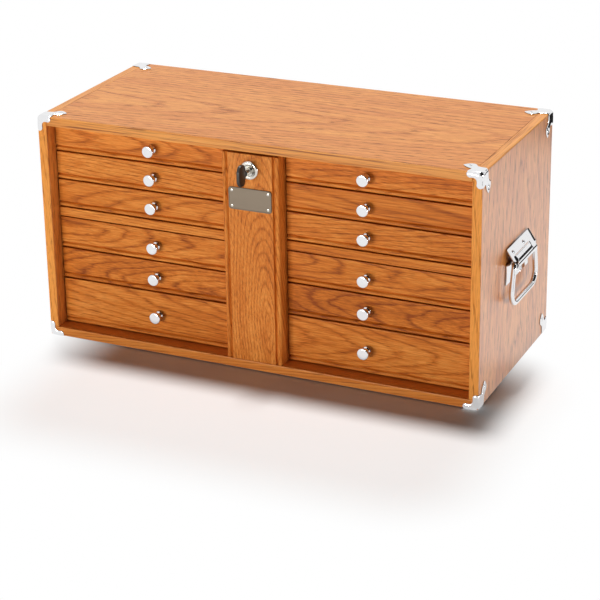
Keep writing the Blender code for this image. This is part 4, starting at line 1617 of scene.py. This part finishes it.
    def loop(self) -> bpy.types.Object:
        """Make the bail as a bent round rod.

        Returns:
            The piece.
        """
        low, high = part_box(f"{self.hand.tag}_handle_bail")
        at, drop = self.pivot, self.pivot.z - low.z - self.rod
        reach, leg, end = (high.y - low.y) / 2 - self.rod, self.bail_leg, self.bail_end
        corners = [(-end, 0), (-leg, 0), (-reach, -drop), (reach, -drop), (leg, 0), (end, 0)]
        elbow, grip = self.bail_bends
        line: list[Pair] = [corners[0]]
        for a, b, c, r in zip(corners, corners[1:], corners[2:], (elbow, grip, grip, elbow)):
            line += fillet(a, b, c, r, 9)
        line.append(corners[-1])
        curve = bpy.data.curves.new("bail", "CURVE")
        curve.dimensions, curve.use_fill_caps = "3D", True
        curve.bevel_depth, curve.bevel_resolution = self.rod, 6
        spline = curve.splines.new("POLY")
        spline.points.add(len(line) - 1)
        for point, (y, z) in zip(spline.points, line):
            point.co = (at.x, at.y + y, at.z + z, 1)
        holder = put("bail", curve)
        made = Shaper()
        made.bm.from_mesh(evaluated(holder))
        bmesh.ops.remove_doubles(made.bm, verts=made.bm.verts, dist=WELD)
        bpy.data.objects.remove(holder)
        return made.stamp(None).piece(f"{self.hand.tag}_bail_rod", self.finish.chrome, sharp=50)

    @property
    def screws(self) -> list[Fixing]:
        """Set out the screws in the hood and the flange.

        Returns:
            Places and directions.
        """
        side, (along, drop) = self.hand.value, self.flange_screw
        facing = Vector((side * self.rise.x, 0, self.rise.y))
        made = [
            (self.spot((self.rise * self.hood_low - self.slope * up) * MM, at * MM), facing)
            for up, at in self.hood_screws
        ]
        x = side * (self.wall + self.flange_t)
        for y in (-along, along):
            made.append((Vector((x, self.pivot.y + y, self.pivot.z - drop)), Vector((side, 0, 0))))
        return made


@dataclass
class Screws(Assembly):
    """Screw heads of one body, set out by Geometry Nodes."""

    name: str
    body: str
    slot: str
    material: bpy.types.Material
    spots: list[tuple[Fixing, float]]  # place and direction, and how much taller than its rise a head is
    head: float = 2.6 * MM
    rise: float = 0.85 * MM
    slit: float = 0.75 * MM
    slit_long: float = 1.25  # length of a slit, in radii of the head

    def tree(self) -> bpy.types.NodeTree:
        """Build the node tree that sets a cross-slotted head on every point.

        Returns:
            The node tree.
        """
        tree = bpy.data.node_groups.new(f"{self.name}_heads", "GeometryNodeTree")
        tree.interface.new_socket("Geometry", in_out="INPUT", socket_type="NodeSocketGeometry")
        for label in ("Head radius", "Head rise", "Slit width"):
            tree.interface.new_socket(label, in_out="INPUT", socket_type="NodeSocketFloat")
        tree.interface.new_socket("Geometry", in_out="OUTPUT", socket_type="NodeSocketGeometry")
        add = partial(add_node, tree)
        given = add("NodeGroupInput").outputs
        radius, rise, slit = (given[label] for label in ("Head radius", "Head rise", "Slit width"))
        ball = add("GeometryNodeMeshUVSphere", {"Segments": 28, "Rings": 16, "Radius": radius})
        low = add("ShaderNodeMath", {0: rise, 1: radius}, operation="DIVIDE")
        squash = add("ShaderNodeCombineXYZ", {"X": 1.0, "Y": 1.0, "Z": low})
        dome = add("GeometryNodeTransform", {"Geometry": ball, "Scale": squash})
        long = add("ShaderNodeMath", {0: radius, 1: self.slit_long}, operation="MULTIPLY")
        lift = add("ShaderNodeCombineXYZ", {"Z": rise})
        cross = add("GeometryNodeMeshBoolean", operation="UNION", solver="EXACT")
        for x, y in ((long, slit), (slit, long)):
            size = add("ShaderNodeCombineXYZ", {"X": x, "Y": y, "Z": rise})
            bar = add("GeometryNodeMeshCube", {"Size": size})
            raised = add("GeometryNodeTransform", {"Geometry": bar, "Translation": lift})
            tree.links.new(raised.outputs[0], cross.inputs["Mesh 2"])
        head = add(
            "GeometryNodeMeshBoolean", {"Mesh 1": dome, "Mesh 2": cross},
            operation="DIFFERENCE", solver="EXACT",
        )
        facing = add("GeometryNodeInputNamedAttribute", {"Name": "facing"}, data_type="FLOAT_VECTOR")
        tall = add("GeometryNodeInputNamedAttribute", {"Name": "tall"}, data_type="FLOAT")
        grown = add("ShaderNodeCombineXYZ", {"X": 1.0, "Y": 1.0, "Z": tall})
        turn = add("FunctionNodeAlignRotationToVector", {"Vector": facing}, axis="Z")
        set_out = add("GeometryNodeInstanceOnPoints", {
            "Points": given["Geometry"], "Instance": head, "Rotation": turn, "Scale": grown})
        solid = add("GeometryNodeRealizeInstances", {"Geometry": set_out})
        clad = add("GeometryNodeSetMaterial", {"Geometry": solid, "Material": self.material})
        add("NodeGroupOutput", {"Geometry": clad})
        return tree

    def build(self) -> None:
        """Set out the heads and keep them as plain mesh."""
        mesh = bpy.data.meshes.new(self.name)
        mesh.from_pydata([tuple(place) for (place, _), _ in self.spots], [], [])
        mesh.attributes.new("facing", "FLOAT_VECTOR", "POINT")
        mesh.attributes.new("tall", "FLOAT", "POINT")
        for i, ((_, way), tall) in enumerate(self.spots):
            mesh.attributes["facing"].data[i].vector = way
            mesh.attributes["tall"].data[i].value = tall
        piece = put(self.name, mesh)
        tree = self.tree()
        maker = piece.modifiers.new("heads", "NODES")
        maker.node_group = tree
        values = {"Head radius": self.head, "Head rise": self.rise, "Slit width": self.slit}
        for item in tree.interface.items_tree:
            if item.name in values:
                maker[item.identifier] = values[item.name]
        bake(piece)
        soften(piece, sharp=40)
        self.keep(piece, self.slot, body=self.body)


# ---------------------------------------------------------------- the studio


@dataclass(frozen=True)
class Card:
    """A dark card that only mirrors see."""

    name: str
    centre: Triple
    size: Pair
    aim: Triple


@dataclass(frozen=True)
class Softbox:
    """A soft lamp that faces the chest."""

    name: str
    place: Triple
    size: Pair
    power: float
    tint: str


@dataclass
class Studio:
    """White sweep, soft lamps, dark cards for the chrome, and the camera."""

    lens: float = 116.98  # focal length on a sensor of the usual width
    sensor: float = 36.0
    shift: float = -0.10  # of the picture, in widths
    eye: Triple = (1.00189, -2.13953, 1.04195)
    yaw: float = 24.831  # degrees, as are the next two
    pitch: float = 20.966
    roll: float = -0.901
    floor_half: float = 8.0
    shadow_mid: Triple = (0.055, -0.185, 0)  # middle of the floor that keeps the shadow
    shadow_half: Triple = (0.215, 0.115, 0)
    shadow_fade: Pair = (0.02, 0.15)  # distances past it between which the floor turns white
    mirror_white: float = 0.6  # least share of white that a mirror sees in the floor
    sun_power: float = 3.63
    sun_spread: float = 9.0  # degrees
    sun_way: Triple = (0.13, -0.21, -1)
    room: float = 0.02  # light that the white room itself gives
    aim: Triple = (0, 0, 0.15)  # point that the softboxes face
    softboxes: tuple[Softbox, ...] = (
        Softbox("front_softbox", (-0.8, -3.0, 0.18), (1.2, 0.3), 49.0, "FFFAF4"),
        Softbox("right_softbox", (2.65, -0.1, 0.15), (0.8, 0.3), 22.0, "FFFFFF"),
    )
    dark_cards: tuple[Card, ...] = (
        Card("dark_card_upper_right", (2.4, -0.55, 2.4), (6.2, 6.2), (0.3, -0.1, 0.3)),
        Card("dark_card_behind_camera", (1.35, -2.9, 1.35), (1.6, 1.3), (0, 0, 0.2)),
        Card("dark_card_back_right", (0.86, 1.36, 0.8), (0.26, 0.26), (0.3, -0.1, 0.3)),
        Card("dark_strip_back", (0.82, 0.95, 0.1), (1.0, 0.3), (0.82, 0, 0.1)),
        Card("dark_strip_right", (0.95, -0.33, 0.05), (0.12, 0.12), (0.3, -0.1, 0.1)),
    )
    mirrors: ClassVar[tuple[str, str]] = ("Is Glossy Ray", "Is Transmission Ray")

    @staticmethod
    def sheet(
        name: str, x: float, y: float, place: Matrix, material: bpy.types.Material,
    ) -> bpy.types.Object:
        """Make a flat sheet.

        Args:
            name: Its name.
            x: Half its width.
            y: Half its length.
            place: Where it stands.
            material: Its material.

        Returns:
            The sheet.
        """
        mesh = bpy.data.meshes.new(name)
        corners = (place @ Vector(p) for p in ((-x, -y, 0), (x, -y, 0), (x, y, 0), (-x, y, 0)))
        mesh.from_pydata([tuple(p) for p in corners], [], [(0, 1, 2, 3)])
        mesh.materials.append(material)
        return put(name, mesh)

    @staticmethod
    def facing(place: Triple, aim: Triple) -> Matrix:
        """Stand at a place and look at another."""
        turn = (Vector(aim) - Vector(place)).to_track_quat("-Z", "Y")
        return Matrix.Translation(place) @ turn.to_matrix().to_4x4()

    def floor(self) -> None:
        """Lay the floor: it keeps the shadow near the chest and is white farther off."""
        made, tree, shader = blank(
            "white_paper_sweep", Base_Color=linear("DAD8D7"), Roughness=0.9, Specular_IOR_Level=0.0)
        add = partial(add_node, tree)
        off = add("ShaderNodeTexCoord").outputs["Object"]
        for operation, by in (
            ("SUBTRACT", self.shadow_mid), ("ABSOLUTE", (0, 0, 0)),
            ("SUBTRACT", self.shadow_half), ("MAXIMUM", (0, 0, 0)),
        ):
            off = add("ShaderNodeVectorMath", {0: off, 1: by}, operation=operation)
        far = add("ShaderNodeVectorMath", {0: off}, operation="LENGTH").outputs["Value"]
        start, stop = self.shadow_fade
        mask = add(
            "ShaderNodeMapRange", {"Value": far, "From Min": start, "From Max": stop},
            interpolation_type="SMOOTHSTEP",
        )
        glow = add("ShaderNodeEmission", {"Color": (1, 1, 1, 1), "Strength": 1.0})
        path = add("ShaderNodeLightPath").outputs
        pale = add("ShaderNodeMath", {0: mask, 1: self.mirror_white}, operation="MAXIMUM")
        share = add("ShaderNodeMath", {0: path["Is Camera Ray"], 1: mask}, operation="MULTIPLY")
        for ray in self.mirrors:
            seen = add("ShaderNodeMath", {0: path[ray], 1: pale}, operation="MULTIPLY")
            share = add("ShaderNodeMath", {0: share, 1: seen}, operation="MAXIMUM")
        mix = add("ShaderNodeMixShader", {0: share, 1: shader, 2: glow})
        tree.links.new(mix.outputs[0], tree.nodes["Material Output"].inputs["Surface"])
        self.sheet("studio_floor", self.floor_half, self.floor_half, Matrix.Identity(4), made)

    def cards(self) -> None:
        """Hang the dark cards."""
        made, *_ = blank("black_card", Base_Color=linear("0A0A0A"), Roughness=0.9)
        for card in self.dark_cards:
            place = self.facing(card.centre, card.aim)
            piece = self.sheet(card.name, card.size[0] / 2, card.size[1] / 2, place, made)
            for ray in ("camera", "diffuse", "shadow", "transmission", "volume_scatter"):
                setattr(piece, f"visible_{ray}", False)

    def light(self) -> None:
        """Light the sweep: a key from above and behind, two low softboxes, and the white room."""
        sun = bpy.data.lights.new("studio_key", "SUN")
        sun.energy, sun.angle = self.sun_power, math.radians(self.sun_spread)
        put("studio_key", sun).matrix_world = self.facing((0, 0, 0), self.sun_way)
        for box in self.softboxes:
            lamp = bpy.data.lights.new(box.name, "AREA")
            lamp.shape, lamp.energy, lamp.color = "RECTANGLE", box.power, linear(box.tint)[:3]
            lamp.size, lamp.size_y = box.size
            put(box.name, lamp).matrix_world = self.facing(box.place, self.aim)
        world = bpy.data.worlds.new("white_room")
        bpy.context.scene.world = world
        world.use_nodes = True
        tree = world.node_tree
        tree.nodes.clear()
        add = partial(add_node, tree)
        room, white = (
            add("ShaderNodeBackground", {"Color": linear("FFFFFF"), "Strength": strength})
            for strength in (self.room, 1.0)
        )
        path = add("ShaderNodeLightPath").outputs
        seen = path["Is Camera Ray"]
        for ray in self.mirrors:
            seen = add("ShaderNodeMath", {0: seen, 1: path[ray]}, operation="MAXIMUM")
        add("ShaderNodeOutputWorld", {
            "Surface": add("ShaderNodeMixShader", {0: seen, 1: room, 2: white})})

    def camera(self) -> None:
        """Stand the camera where the photograph was taken from."""
        yaw, pitch, roll = (math.radians(a) for a in (self.yaw, self.pitch, self.roll))
        back = Vector((math.sin(yaw) * math.cos(pitch), -math.cos(yaw) * math.cos(pitch), math.sin(pitch)))
        right = Vector((math.cos(yaw), math.sin(yaw), 0))
        up = back.cross(right)
        across = math.cos(roll) * right + math.sin(roll) * up
        upright = -math.sin(roll) * right + math.cos(roll) * up
        data = bpy.data.cameras.new("camera")
        data.lens, data.sensor_width, data.shift_y = self.lens, self.sensor, self.shift
        data.clip_end = 50
        holder = put("camera", data)
        turn = Matrix((across, upright, back)).transposed()
        holder.matrix_world = Matrix.Translation(self.eye) @ turn.to_4x4()
        bpy.context.scene.camera = holder

    def build(self) -> None:
        """Set up the whole studio."""
        self.floor()
        self.cards()
        self.light()
        self.camera()
        bpy.context.scene.view_settings.view_transform = "Standard"


def main() -> None:
    """Build the chest and its studio."""
    logging.basicConfig(level=logging.INFO, format="%(name)s: %(message)s")
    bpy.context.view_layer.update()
    finish = Finish()
    panel = LockPanel(finish)
    brackets = [CornerBracket(finish, *corner) for corner in product(Hand, Depth, Level)]
    handles = [SideHandle(finish, hand) for hand in Hand]
    parts: list[Assembly] = [Case(finish), panel, *brackets, *handles]
    parts += [Drawer(finish, hand, row) for hand in Hand for row in ROWS]
    plain, proud = 1.0, 1.6  # the handles' screws stand taller
    spots = [(s, plain) for part in brackets for s in part.screws]
    spots += [(s, proud) for part in handles for s in part.screws]
    parts.append(Screws("case_screws", "chest", "chrome", finish.chrome, spots))
    spots = [(s, plain) for s in panel.screws]
    parts.append(Screws(
        "plate_screws", "lock_panel", "nickel_lock", finish.nickel, spots,
        head=1.7 * MM, rise=0.34 * MM, slit=0.5 * MM,
    ))
    for part in parts:
        part.build()
        part.dress()
    Studio().build()


if __name__ == "__main__":
    main()
